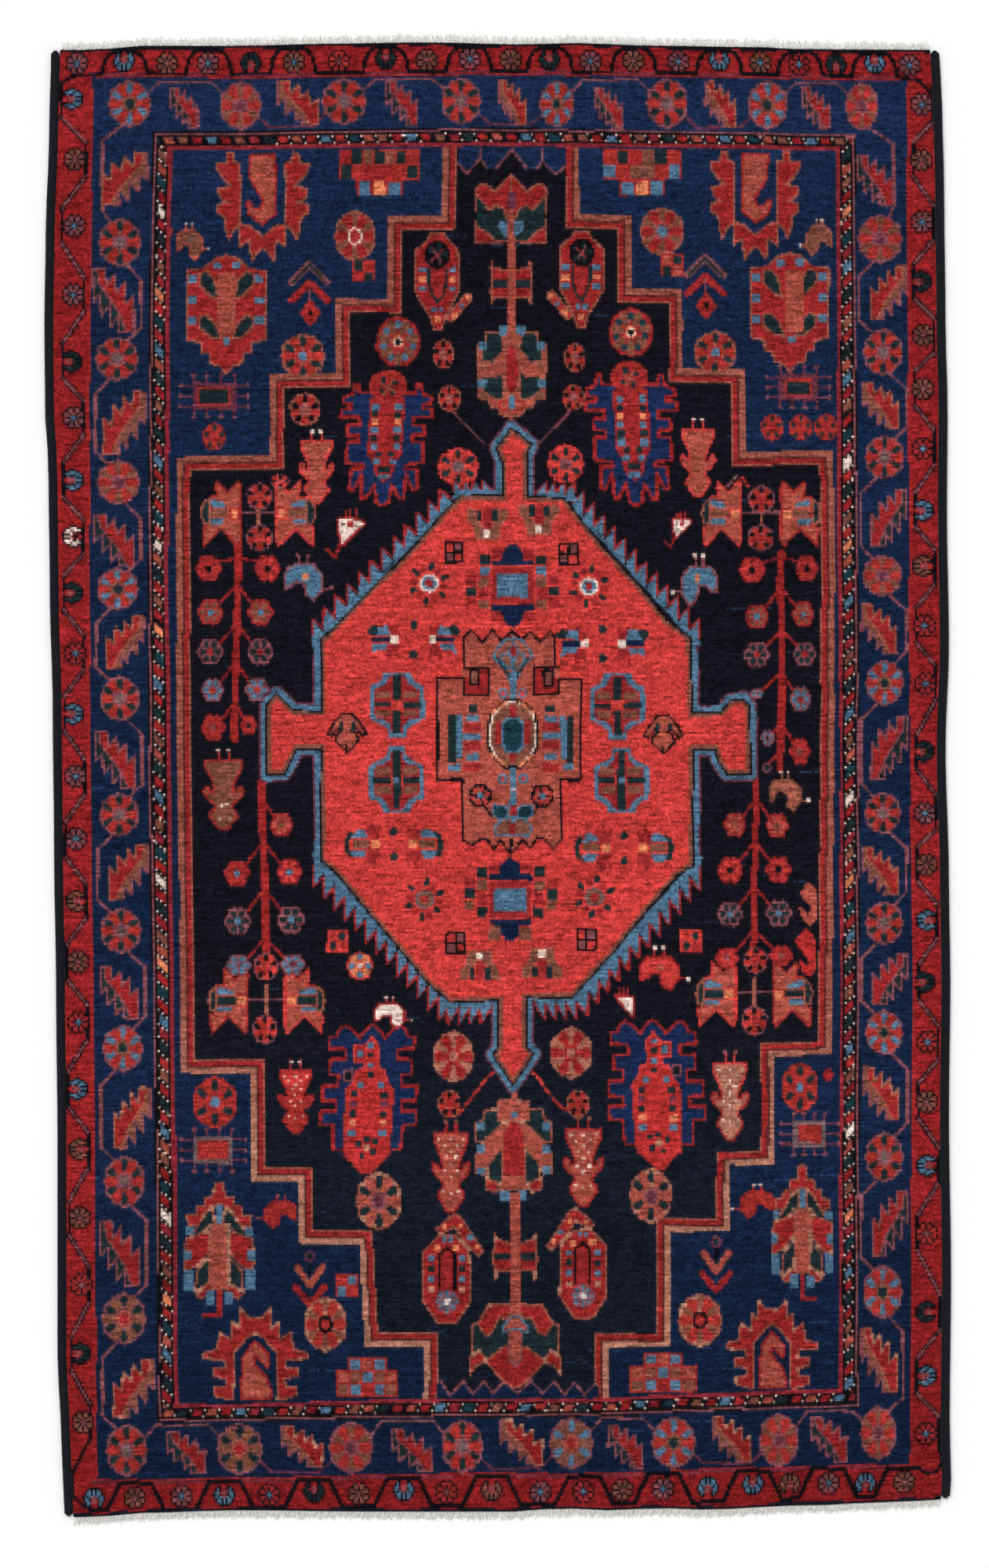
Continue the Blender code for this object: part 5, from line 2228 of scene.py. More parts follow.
# ---- Finishes ------------------------------------------------------------------------------------
def add_node(tree: bpy.types.NodeTree, kind: str, settings: dict, inputs: dict) -> bpy.types.Node:
    """Adds a shader node.

    Args:
        tree: The material's or the world's nodes.
        kind: The node's type.
        settings: Its properties.
        inputs: A value or a linked socket for each of its inputs, by name or number.

    Returns:
        The node.
    """
    made = tree.nodes.new(kind)
    for name, value in settings.items():
        setattr(made, name, value)
    for name, value in inputs.items():
        if isinstance(value, bpy.types.NodeSocket):
            tree.links.new(value, made.inputs[name])
        else:
            made.inputs[name].default_value = value
    return made


def blank_material(name: str) -> tuple[bpy.types.Material, bpy.types.NodeTree, bpy.types.Node]:
    """Starts a material.

    Args:
        name: Its name.

    Returns:
        The material, its nodes and its shader.
    """
    material = bpy.data.materials.new(name)
    material.use_nodes = True
    return material, material.node_tree, material.node_tree.nodes["Principled BSDF"]


@dataclass(frozen=True)
class WoolPile:
    """Hand-spun wool, dyed in the hank and clipped: matt, with a slight bloom, no two knots the same."""

    tuft_mm: float = 1.5  # a knot's two tufts, half a knot each
    fibre_mm: float = 0.45  # spun fibres, drawn coarser than they are so that they show
    shade: float = 0.34  # how much darker the hollows between tufts are
    bump: float = 0.55

    def material(self) -> bpy.types.Material:
        """Makes the material, which takes each knot's colour from the "wool" attribute.

        Returns:
            The material.
        """
        material, tree, shader = blank_material("hand_spun_wool_pile")
        place = add_node(tree, "ShaderNodeTexCoord", {}, {}).outputs["Object"]
        wool = add_node(tree, "ShaderNodeAttribute", {"attribute_name": "wool"}, {})
        tufts = add_node(tree, "ShaderNodeTexNoise", {}, {
            "Vector": place, "Scale": 1000 / self.tuft_mm / 2, "Detail": 1.0, "Roughness": 0.6})
        fibres = add_node(tree, "ShaderNodeTexNoise", {}, {
            "Vector": place, "Scale": 1000 / self.fibre_mm / 2, "Detail": 1.0, "Roughness": 0.5})
        height = add_node(tree, "ShaderNodeMix", {"data_type": "FLOAT"}, {
            0: 0.35, 2: tufts.outputs["Fac"], 3: fibres.outputs["Fac"]})
        light = add_node(tree, "ShaderNodeMapRange", {}, {
            "Value": height.outputs[0], "From Min": 0.3, "From Max": 0.7,
            "To Min": 1 - self.shade, "To Max": 1 + self.shade})
        colour = add_node(tree, "ShaderNodeVectorMath", {"operation": "SCALE"}, {
            0: wool.outputs["Color"], "Scale": light.outputs["Result"]})
        bump = add_node(tree, "ShaderNodeBump", {}, {
            "Strength": self.bump, "Distance": 0.0006, "Height": height.outputs[0]})
        tree.links.new(colour.outputs["Vector"], shader.inputs["Base Color"])
        tree.links.new(bump.outputs["Normal"], shader.inputs["Normal"])
        shader.inputs["Roughness"].default_value = 0.95
        shader.inputs["Specular IOR Level"].default_value = 0.04
        shader.inputs["Sheen Weight"].default_value = 0.01
        shader.inputs["Sheen Roughness"].default_value = 0.5
        return material


@dataclass(frozen=True)
class KnottedBack:
    """The back of the cloth: flat collars of wool in rows, with pale cotton weft showing between them."""

    collar_mm: float = 6.0  # two knots side by side
    row_mm: float = 3.0
    weft_mm: float = 0.5

    def material(self) -> bpy.types.Material:
        """Makes the material, which takes the collars' colour from the "wool" attribute.

        Returns:
            The material.
        """
        material, tree, shader = blank_material("knotted_back_and_cotton_weft")
        place = add_node(tree, "ShaderNodeTexCoord", {}, {}).outputs["Object"]
        wool = add_node(tree, "ShaderNodeAttribute", {"attribute_name": "wool"}, {})
        weave = add_node(tree, "ShaderNodeTexBrick", {"offset": 0.5}, {
            "Vector": place, "Color1": (1, 1, 1, 1), "Color2": (0.82, 0.82, 0.82, 1), "Mortar": (0, 0, 0, 1),
            "Scale": 1000.0, "Mortar Size": self.weft_mm / 2, "Mortar Smooth": 0.4, "Bias": 0.0,
            "Brick Width": self.collar_mm, "Row Height": self.row_mm})
        fuzz = add_node(tree, "ShaderNodeTexNoise", {}, {"Vector": place, "Scale": 700.0, "Detail": 2.0})
        cotton = (*linear("#8F8676"), 1)
        gap = add_node(tree, "ShaderNodeMapRange", {}, {
            "Value": weave.outputs["Fac"], "From Min": 0.0, "From Max": 1.0, "To Min": 0.0, "To Max": 0.75})
        mixed = add_node(tree, "ShaderNodeMix", {"data_type": "RGBA"}, {
            0: gap.outputs["Result"], 6: wool.outputs["Color"], 7: cotton})
        light = add_node(tree, "ShaderNodeMapRange", {}, {
            "Value": fuzz.outputs["Fac"], "From Min": 0.3, "From Max": 0.7, "To Min": 0.75, "To Max": 1.2})
        colour = add_node(tree, "ShaderNodeVectorMath", {"operation": "SCALE"}, {
            0: mixed.outputs[2], "Scale": light.outputs["Result"]})
        bump = add_node(tree, "ShaderNodeBump", {"invert": True}, {
            "Strength": 0.6, "Distance": 0.0006, "Height": weave.outputs["Fac"]})
        tree.links.new(colour.outputs["Vector"], shader.inputs["Base Color"])
        tree.links.new(bump.outputs["Normal"], shader.inputs["Normal"])
        shader.inputs["Roughness"].default_value = 0.92
        shader.inputs["Specular IOR Level"].default_value = 0.2
        return material


@dataclass(frozen=True)
class Yarn:
    """A matt spun yarn in one dye lot, a little uneven, such as the overcast wool or the cotton warps."""

    name: str
    dark: str
    light: str
    grain_mm: float
    sheen: float

    def material(self) -> bpy.types.Material:
        """Makes the material: two shades of the yarn in short streaks, with a fine fibre bump.

        Returns:
            The material.
        """
        material, tree, shader = blank_material(self.name)
        place = add_node(tree, "ShaderNodeTexCoord", {}, {}).outputs["Object"]
        streaks = add_node(tree, "ShaderNodeTexNoise", {}, {
            "Vector": place, "Scale": 1000 / self.grain_mm / 2, "Detail": 3.0, "Roughness": 0.65})
        colour = add_node(tree, "ShaderNodeMix", {"data_type": "RGBA"}, {
            0: add_node(tree, "ShaderNodeMapRange", {}, {
                "Value": streaks.outputs["Fac"], "From Min": 0.3, "From Max": 0.7}).outputs["Result"],
            6: (*linear(self.dark), 1), 7: (*linear(self.light), 1)})
        bump = add_node(tree, "ShaderNodeBump", {}, {
            "Strength": 0.5, "Distance": 0.0004, "Height": streaks.outputs["Fac"]})
        tree.links.new(colour.outputs[2], shader.inputs["Base Color"])
        tree.links.new(bump.outputs["Normal"], shader.inputs["Normal"])
        shader.inputs["Roughness"].default_value = 0.93
        shader.inputs["Specular IOR Level"].default_value = 0.2
        shader.inputs["Sheen Weight"].default_value = self.sheen
        return material


SELVEDGE_YARN = Yarn("overcast_selvedge_wool", "#090A0E", "#15171E", 1.0, 0.05)
WARP_COTTON = Yarn("frayed_cotton_warps", "#DAD5CB", "#FFFFFC", 1.2, 0.1)


# ---- Modelling -----------------------------------------------------------------------------------
def grid(name: str, columns: int, rows: int) -> tuple[bpy.types.Object, np.ndarray, np.ndarray]:
    """Adds a plain grid, to be laid in place.

    Args:
        name: The piece's name.
        columns: Faces across.
        rows: Faces down.

    Returns:
        The piece, and each vertex's row from the top and column from the left.
    """
    bpy.ops.object.select_all(action="DESELECT")
    bpy.ops.mesh.primitive_grid_add(x_subdivisions=columns, y_subdivisions=rows, size=1.0)
    piece = bpy.context.active_object
    piece.name = piece.data.name = name
    spots = places_of(piece)
    column = np.rint((spots[:, 0] + 0.5) * columns).astype(int)
    row = np.rint((0.5 - spots[:, 1]) * rows).astype(int)
    return piece, row, column


def places_of(piece: bpy.types.Object) -> np.ndarray:
    """Reads where a piece's vertices are.

    Args:
        piece: The piece.

    Returns:
        x, y and z of each vertex.
    """
    spots = np.empty(len(piece.data.vertices) * 3)
    piece.data.vertices.foreach_get("co", spots)
    return spots.reshape(-1, 3)


def put(piece: bpy.types.Object, spots: np.ndarray) -> None:
    """Moves a piece's vertices.

    Args:
        piece: The piece.
        spots: Their new places.
    """
    piece.data.vertices.foreach_set("co", spots.astype(np.float32).ravel())
    piece.data.update()


def edit(piece: bpy.types.Object) -> None:
    """Opens one piece in edit mode with nothing selected, in vertex mode."""
    bpy.ops.object.select_all(action="DESELECT")
    piece.select_set(True)
    bpy.context.view_layer.objects.active = piece
    bpy.ops.object.mode_set(mode="EDIT")
    bpy.ops.mesh.select_mode(type="VERT")
    bpy.ops.mesh.select_all(action="DESELECT")


def close_below(piece: bpy.types.Object, floor: float) -> None:
    """Drops walls from a sheet's open edge to a level, and closes them with one flat face.

    Args:
        piece: The sheet.
        floor: The level.
    """
    before = len(piece.data.vertices)
    edit(piece)
    bpy.ops.mesh.select_non_manifold()
    bpy.ops.mesh.extrude_edges_move()
    bpy.ops.object.mode_set(mode="OBJECT")
    spots = places_of(piece)
    spots[before:, 2] = floor
    put(piece, spots)
    bpy.ops.object.mode_set(mode="EDIT")
    bpy.ops.mesh.edge_face_add()
    bpy.ops.object.mode_set(mode="OBJECT")


def smooth_noise(shape: tuple[int, int], cell: int, seed: int) -> np.ndarray:
    """Makes a gently rolling field of values from -1 to 1.

    Args:
        shape: Rows and columns.
        cell: How many places one roll takes.
        seed: Chooses the field.

    Returns:
        The field.
    """
    chance = np.random.default_rng(seed)
    rows, columns = shape[0] // cell + 3, shape[1] // cell + 3
    coarse = chance.uniform(-1, 1, (rows, columns))
    y, x = np.arange(shape[0]) / cell, np.arange(shape[1]) / cell
    iy, ix = y.astype(int), x.astype(int)
    fy, fx = y - iy, x - ix
    fy, fx = (fy * fy * (3 - 2 * fy))[:, None], (fx * fx * (3 - 2 * fx))[None, :]
    upper = coarse[iy][:, ix] * (1 - fx) + coarse[iy][:, ix + 1] * fx
    lower = coarse[iy + 1][:, ix] * (1 - fx) + coarse[iy + 1][:, ix + 1] * fx
    return upper * (1 - fy) + lower * fy


MEDALLION_BOX = (340, 540, 960, 1390)  # left, top, right and bottom, in drawing units
# Rows of (drawing units down, share of the wool's light): painted shade that darkens the pile towards both
# ends of the rug.
END_SHADE = ((430, 0.94), (560, 1.0), (1420, 1.0), (1560, 0.92))
# Levels of some dyes along the rug, rows of (drawing units down, share): dye lots, with painted shade in the
# drops at the bottom border.
DYE_LOT_AND_SHADE_LEVELS = (
    ((NAVY, INDIGO), (
        (0, 1.20), (150, 1.22), (260, 1.05), (420, 0.95), (600, 0.92), (900, 0.80), (1200, 0.86),
        (1500, 0.92), (1600, 0.84), (1760, 0.74), (2000, 0.74))),
    ((SALMON,), ((150, 0.92), (450, 0.92), (800, 1.0), (1200, 1.0), (1550, 0.94), (1850, 0.90))),
    ((INK,), ((150, 0.9), (450, 0.9), (800, 0.95), (1200, 1.0), (1550, 0.92), (1850, 0.82))),
    ((GUARD_RED,), ((150, 1.0), (450, 1.0), (800, 1.02), (1200, 1.06), (1550, 1.0), (1850, 0.84))),
    ((RED,), ((150, 1.0), (450, 1.0), (800, 1.0), (1200, 1.02), (1550, 1.0), (1850, 0.86))),
)


@dataclass(frozen=True)
class DyeLotsAndShade:
    """How the dyed wool varies: from knot to knot, along each row, and from one dye lot to the next; with
    painted shade towards the rug's ends.
    """

    knot_spread: float = 0.18
    row_spread: float = 0.07
    row_limit: float = 2.0  # the most that one row differs, in spreads
    lot_spread: float = 0.07
    lot_knots: int = 34  # how wide a patch of one lot is
    mottle_spread: float = 0.06
    mottle_knots: int = 8
    red_mottle: float = 2.5  # how much more the guard's red is mottled
    streak_spread: float = 0.05
    streak_knots: int = 6
    dash_spread: float = 0.19  # runs of a few knots from one stretch of yarn
    dash_knots: int = 4
    level_limits: Point = (0.4, 1.8)
    exposure: float = 0.94  # the floor's light on the wool
    late_tan: str = "#B27F69"  # the paler tan of the rug's lower part
    late_ink: str = "#151A26"  # and its bluer ink
    tan_share: float = 0.65  # how far the tan turns to the paler one
    late_rows: Point = (1250, 1480)  # where on the drawing the later wools take over
    dull_coral: float = 0.64  # how much of the medallion's bright coral the flowers outside it keep
    weft_glints: int = 90  # short pale stretches of weft that show between two rows
    glint_knots: tuple[int, int] = (3, 24)  # how many knots such a stretch runs along
    glint_margin: int = 30  # knots at the right edge where none begins
    glint_cover: float = 0.6  # how many of a stretch's knots it shows at
    glint_share: float = 0.08  # how much of a knot it covers at least
    glint_spread: float = 0.16  # and how much more at most
    glint_colour: str = "#3E6496"
    tip_spread: float = 0.30  # how much of a tuft's place its neighbours' leaning tips cover

    def colours(self, chart: Chart) -> np.ndarray:
        """Turns the chart's dyes into each knot's colour, painted shade included.

        Args:
            chart: The chart.

        Returns:
            Linear red, green and blue for each knot.
        """
        palette = np.array([linear(WOOL[dye]) for dye in Dye]) * self.exposure
        colour = palette[chart.dye]
        for dye, later, share in ((TAN, self.late_tan, self.tan_share), (INK, self.late_ink, 1.0)):
            late = (np.interp(chart.y, self.late_rows, (0, share)) * self.broad(chart.dye == dye))[..., None]
            colour = colour * (1 - late) + np.array(linear(later)) * late
        colour = self.soften(colour)
        shape = chart.dye.shape
        chance = np.random.default_rng(21)
        level = 1 + self.knot_spread * chance.standard_normal(shape)
        rows = np.clip(chance.standard_normal((shape[0], 1)), -self.row_limit, self.row_limit)
        level += self.row_spread * rows
        level *= 1 + self.lot_spread * smooth_noise(shape, self.lot_knots, 3)
        mottle = self.mottle_spread * np.where(chart.dye == GUARD_RED, self.red_mottle, 1.0)
        level *= 1 + mottle * smooth_noise(shape, self.mottle_knots, 4)
        streaks = smooth_noise((shape[0], shape[1] // self.streak_knots + 1), 2, 9)
        level *= 1 + self.streak_spread * np.repeat(streaks, self.streak_knots, axis=1)[:, :shape[1]]
        dashes = chance.standard_normal((shape[0], shape[1] // self.dash_knots + 2))
        shift = chance.integers(0, self.dash_knots, (shape[0], 1))
        place = (np.arange(shape[1]) + shift) // self.dash_knots
        level *= 1 + self.dash_spread * np.take_along_axis(dashes, place, axis=1)
        # dye lots, and painted shade at the bottom border
        self.lots(chart, level)
        # painted shade: the pile darker towards both ends of the rug
        level *= read_table(END_SHADE, chart.y)
        colour = colour * np.clip(level, *self.level_limits)[..., None]
        self.glints(colour, chart)
        return np.clip(colour, 0, 1)

    def broad(self, wool: np.ndarray) -> np.ndarray:
        """Tells a dye's broad stretches from its outlines one knot wide.

        Args:
            wool: The knots of one dye.

        Returns:
            The knots of it that lie two or more wide and two or more deep.
        """
        block = wool & np.roll(wool, -1, 0) & np.roll(wool, -1, 1) & np.roll(wool, (-1, -1), (0, 1))
        return block | np.roll(block, 1, 0) | np.roll(block, 1, 1) | np.roll(block, (1, 1), (0, 1))

    def soften(self, colour: np.ndarray) -> np.ndarray:
        """Lets the tufts' tips lean over each other, mostly down the rug, so that thin lines sink in.

        Args:
            colour: Each knot's colour.

        Returns:
            The mixed colours. Wool mixes darker than light does, so the mean is taken of square roots.
        """
        root = np.pad(np.sqrt(colour), ((1, 1), (1, 1), (0, 0)), mode="edge")
        around = (root[:-2, 1:-1] * 2 + root[2:, 1:-1] + root[1:-1, :-2] + root[1:-1, 2:]) / 5
        return (root[1:-1, 1:-1] * (1 - self.tip_spread) + around * self.tip_spread) ** 2

    def lots(self, chart: Chart, level: np.ndarray) -> None:
        """Lightens and darkens the blues, tans, reds and ink along the rug, where one dye lot gave out and
        the next began, with painted shade at the bottom border.

        Args:
            chart: The chart.
            level: Each knot's level, which is changed.
        """
        for dyes, table in DYE_LOT_AND_SHADE_LEVELS:
            of_dye = np.isin(chart.dye, dyes)
            level[of_dye] *= read_table(table, chart.y)[of_dye]
        left, top, right, bottom = MEDALLION_BOX
        outside = (chart.x < left) | (chart.x > right) | (chart.y < top) | (chart.y > bottom)
        level[(chart.dye == CORAL) & outside] *= self.dull_coral

    def glints(self, colour: np.ndarray, chart: Chart) -> None:
        """Shows short stretches of blue-grey weft between the knots of the dark grounds.

        Args:
            colour: Each knot's colour, which is changed.
            chart: The chart.
        """
        chance = np.random.default_rng(33)
        glint = np.array(linear(self.glint_colour))
        rows, columns = chart.dye.shape
        for _ in range(self.weft_glints):
            row = int(chance.integers(2, rows - 2))
            column = int(chance.integers(0, columns - self.glint_margin))
            run = slice(column, column + int(chance.integers(*self.glint_knots)))
            dyes = chart.dye[row, run]
            ground = np.isin(dyes, (NAVY, INK, INDIGO)) & (chance.random(dyes.shape) < self.glint_cover)
            share = self.glint_share + self.glint_spread * chance.random()
            colour[row, run][ground] = colour[row, run][ground] * (1 - share) + glint * share


@dataclass
class PileCloth:
    """The knotted body: long strips of pile, a quad to a knot, over one sheet of woven back."""

    outline: Outline
    chart: Chart
    colour: np.ndarray
    panels: int = 3  # stretches that a strip's own map is folded into
    nap_unevenness: float = 0.00016
    rolls: float = 0.00022
    headroom: float = 0.0006  # from the mean nap to the top of the solid
    rim_drops: tuple[float, ...] = (0.0021, 0.0007, 0.0002, 0.0)  # of the rows from the edge inwards
    tuck: float = 0.0004  # how far the pile's walls reach down into the back
    bare_cotton: str = "#A89C86"
    face_share: float = 0.95  # of the map, above the walls and the closing face
    wall_top: float = 0.030  # the walls' place on the map
    lid_top: float = 0.012  # and the closing face's, a wall's height on the map too
    pieces: list[bpy.types.Object] = field(default_factory=list)

    def build(self) -> list[bpy.types.Object]:
        """Models the back and the pile.

        Returns:
            The back, then the strips of pile.
        """
        self.pieces = [self.back()]
        x, y = self.outline.lattice(KNOTS_ACROSS, KNOTS_DOWN)
        z = self.nap()
        edges = np.linspace(0, KNOTS_ACROSS, STRIPS + 1).astype(int)
        for number, (start, stop) in enumerate(zip(edges, edges[1:])):
            self.pieces.append(self.strip(f"pile_strip_{number + 1}", x, y, z, int(start), int(stop)))
        return self.pieces

    def nap(self) -> np.ndarray:
        """Works out the clipped nap's height over the lattice: a little uneven, rounded over at the rim.

        Returns:
            z of each corner of the lattice.
        """
        chance = np.random.default_rng(17)
        shape = (KNOTS_DOWN + 1, KNOTS_ACROSS + 1)
        z = PILE_HEIGHT - self.headroom + self.rolls * smooth_noise(shape, 26, 4)
        z += self.nap_unevenness * chance.uniform(-1, 1, shape)
        rows, columns = np.indices(shape)
        rim = np.minimum.reduce([rows, columns, shape[0] - 1 - rows, shape[1] - 1 - columns])
        return z - np.array(self.rim_drops)[np.clip(rim, 0, len(self.rim_drops) - 1)]

    def strip(self, name: str, x: np.ndarray, y: np.ndarray, z: np.ndarray, start: int,
              stop: int) -> bpy.types.Object:
        """Models one strip of pile.

        Args:
            name: Its name.
            x: The lattice's x.
            y: The lattice's y.
            z: The lattice's z.
            start: The strip's first column of knots.
            stop: The column after its last.

        Returns:
            The strip.
        """
        count = stop - start
        piece, row, column = grid(name, count, KNOTS_DOWN)
        put(piece, np.stack([x[row, start + column], y[row, start + column], z[row, start + column]], axis=1))
        close_below(piece, BACK_HEIGHT - self.tuck)
        self.tie(piece, row, column, self.colour[:, start:stop], count, KNOTS_DOWN, self.panels)
        return piece

    def back(self) -> bpy.types.Object:
        """Models the woven back: a thin closed sheet whose face is down.

        Returns:
            The back.
        """
        columns, rows = KNOTS_ACROSS // 2, KNOTS_DOWN // 2
        piece, row, column = grid("woven_back", columns, rows)
        x, y = self.outline.lattice(columns, rows)
        put(piece, np.stack([x[row, column], y[row, column], np.zeros(len(row))], axis=1))
        close_below(piece, BACK_HEIGHT)
        edit(piece)
        bpy.ops.mesh.select_all(action="SELECT")
        bpy.ops.mesh.normals_make_consistent(inside=False)
        bpy.ops.object.mode_set(mode="OBJECT")
        self.tie(piece, row, column, self.colour[::2, ::2], columns, rows, 1)
        return piece

    def tie(self, piece: bpy.types.Object, row: np.ndarray, column: np.ndarray, colour: np.ndarray,
            columns: int, rows: int, panels: int) -> None:
        """Gives each face its knot's colour, and its place on the piece's own map.

        Args:
            piece: The piece, a grid with its walls and its closing face.
            row: Each grid vertex's row.
            column: Each grid vertex's column.
            colour: The knots' colours.
            columns: Knots across the piece.
            rows: Knots down it.
            panels: Stretches that its map is folded into.
        """
        mesh = piece.data
        faces, loops, grid_faces = len(mesh.polygons), len(mesh.loops), columns * rows
        spots = places_of(piece)
        known = {(round(a, 6), round(b, 6)): i for i, (a, b) in enumerate(spots[:len(row), :2].tolist())}
        origin = np.arange(len(spots))
        origin[len(row):] = [known[(round(a, 6), round(b, 6))] for a, b in spots[len(row):, :2].tolist()]
        corner = np.empty(loops, int)
        mesh.loops.foreach_get("vertex_index", corner)
        first, size = np.empty(faces, int), np.empty(faces, int)
        mesh.polygons.foreach_get("loop_start", first)
        mesh.polygons.foreach_get("loop_total", size)
        owner = np.repeat(np.arange(faces), size)
        loop_row, loop_column = row[origin[corner]], column[origin[corner]]
        face_row = np.minimum(np.minimum.reduceat(loop_row, first), rows - 1)
        face_column = np.minimum(np.minimum.reduceat(loop_column, first), columns - 1)
        wool = np.ones((faces, 4), np.float32)
        wool[:, :3] = colour[face_row, face_column]
        wool[size > 4, :3] = linear(self.bare_cotton)
        mesh.attributes.new("wool", "FLOAT_COLOR", "FACE").data.foreach_set("color", wool.ravel())
        deep = -(-rows // panels)
        panel = (face_row // deep)[owner]
        across = (panel * (columns + 2) + loop_column) / (panels * (columns + 2))
        down = (loop_row - panel * deep) / deep
        u, v = across, 1 - down * self.face_share
        wall = (size[owner] == 4) & (owner >= grid_faces)
        lid = size[owner] > 4
        lowered = (corner >= len(row)).astype(float)
        ring = (loop_row + loop_column) / (rows + columns + 2)
        u[wall], v[wall] = ring[wall], (self.wall_top - self.lid_top * lowered)[wall]
        u[lid], v[lid] = (loop_column / columns)[lid], (self.lid_top * (1 - loop_row / rows))[lid]
        layer = mesh.uv_layers.new(name="OFBake")
        layer.data.foreach_set("uv", np.stack([u, v], axis=1).astype(np.float32).ravel())

    def dress(self) -> None:
        """Gives the pieces their finishes, parents them to the root body and hides the knotted body's solid.
        """
        pile, back = WoolPile().material(), KnottedBack().material()
        for piece in self.pieces:
            piece.data.materials.clear()
            piece.data.materials.append(back if piece is self.pieces[0] else pile)
            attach(piece, "root")
        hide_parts("knotted_body")


@dataclass
class Selvedge:
    """A side cord: several warps overcast with dark wool, wrap after slanting wrap."""

    outline: Outline
    side: int
    wrap: float = 0.0024
    ridge: float = 0.00038  # how far a wrap stands out over the hollow beside it
    slant: float = 0.0009  # how far a wrap runs along the cord as it goes round
    sides: int = 10
    end_gap: float = 0.0008  # from the cord's ends to its solid's
    unevenness: float = 0.00012
    closing_rings: int = 3  # rings over which the cord narrows to its ends
    end_share: float = 0.45  # of its width that is left there
    spare_width: float = 0.0003  # half the room for the ridges inside the solid's width
    spare_height: float = 0.0001

    def build(self) -> bpy.types.Object:
        """Models the cord.

        Returns:
            The cord.
        """
        name = "selvedge_cord_left" if self.side < 0 else "selvedge_cord_right"
        node = "selvedge_left" if self.side < 0 else "selvedge_right"
        low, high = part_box(node)[0][1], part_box(node)[1][1]
        rings = int((high - low) / self.wrap) * 2
        piece, row, column = grid(name, self.sides, rings)
        share = 1 - row / rings
        y = low + self.end_gap + (high - low - 2 * self.end_gap) * share
        angle = math.tau * column / self.sides - math.pi / 2
        chance = np.random.default_rng(40 + self.side)
        ring_swell = chance.normal(0, self.unevenness, rings + 1)[row]
        closing = np.clip(np.minimum(row, rings - row) / self.closing_rings, self.end_share, 1)
        swell = (np.where(row % 2 == 0, self.ridge / 2, -self.ridge / 2) + ring_swell) * closing
        half_width = (SELVEDGE_WIDTH / 2 - self.spare_width) * closing + swell
        half_height = (SELVEDGE_HEIGHT / 2 - self.spare_height) * closing + swell
        middle = self.outline.side_x(self.side, y, SELVEDGE_WIDTH / 2)
        x = middle + np.cos(angle) * half_width
        z = SELVEDGE_HEIGHT / 2 + np.sin(angle) * half_height
        y = y + self.slant * np.sin(angle) * closing
        put(piece, np.stack([x, y, np.clip(z, self.spare_height, None)], axis=1))
        edit(piece)
        bpy.ops.mesh.select_all(action="SELECT")
        bpy.ops.mesh.remove_doubles(threshold=MERGE_DISTANCE)
        bpy.ops.mesh.select_all(action="DESELECT")
        bpy.ops.mesh.select_non_manifold()
        bpy.ops.mesh.edge_face_add()
        bpy.ops.mesh.select_all(action="SELECT")
        bpy.ops.mesh.normals_make_consistent(inside=False)
        bpy.ops.object.mode_set(mode="OBJECT")
        piece.data.shade_smooth()
        piece.data.materials.append(SELVEDGE_YARN.material())
        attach(piece, "root")
        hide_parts(node)
        return piece


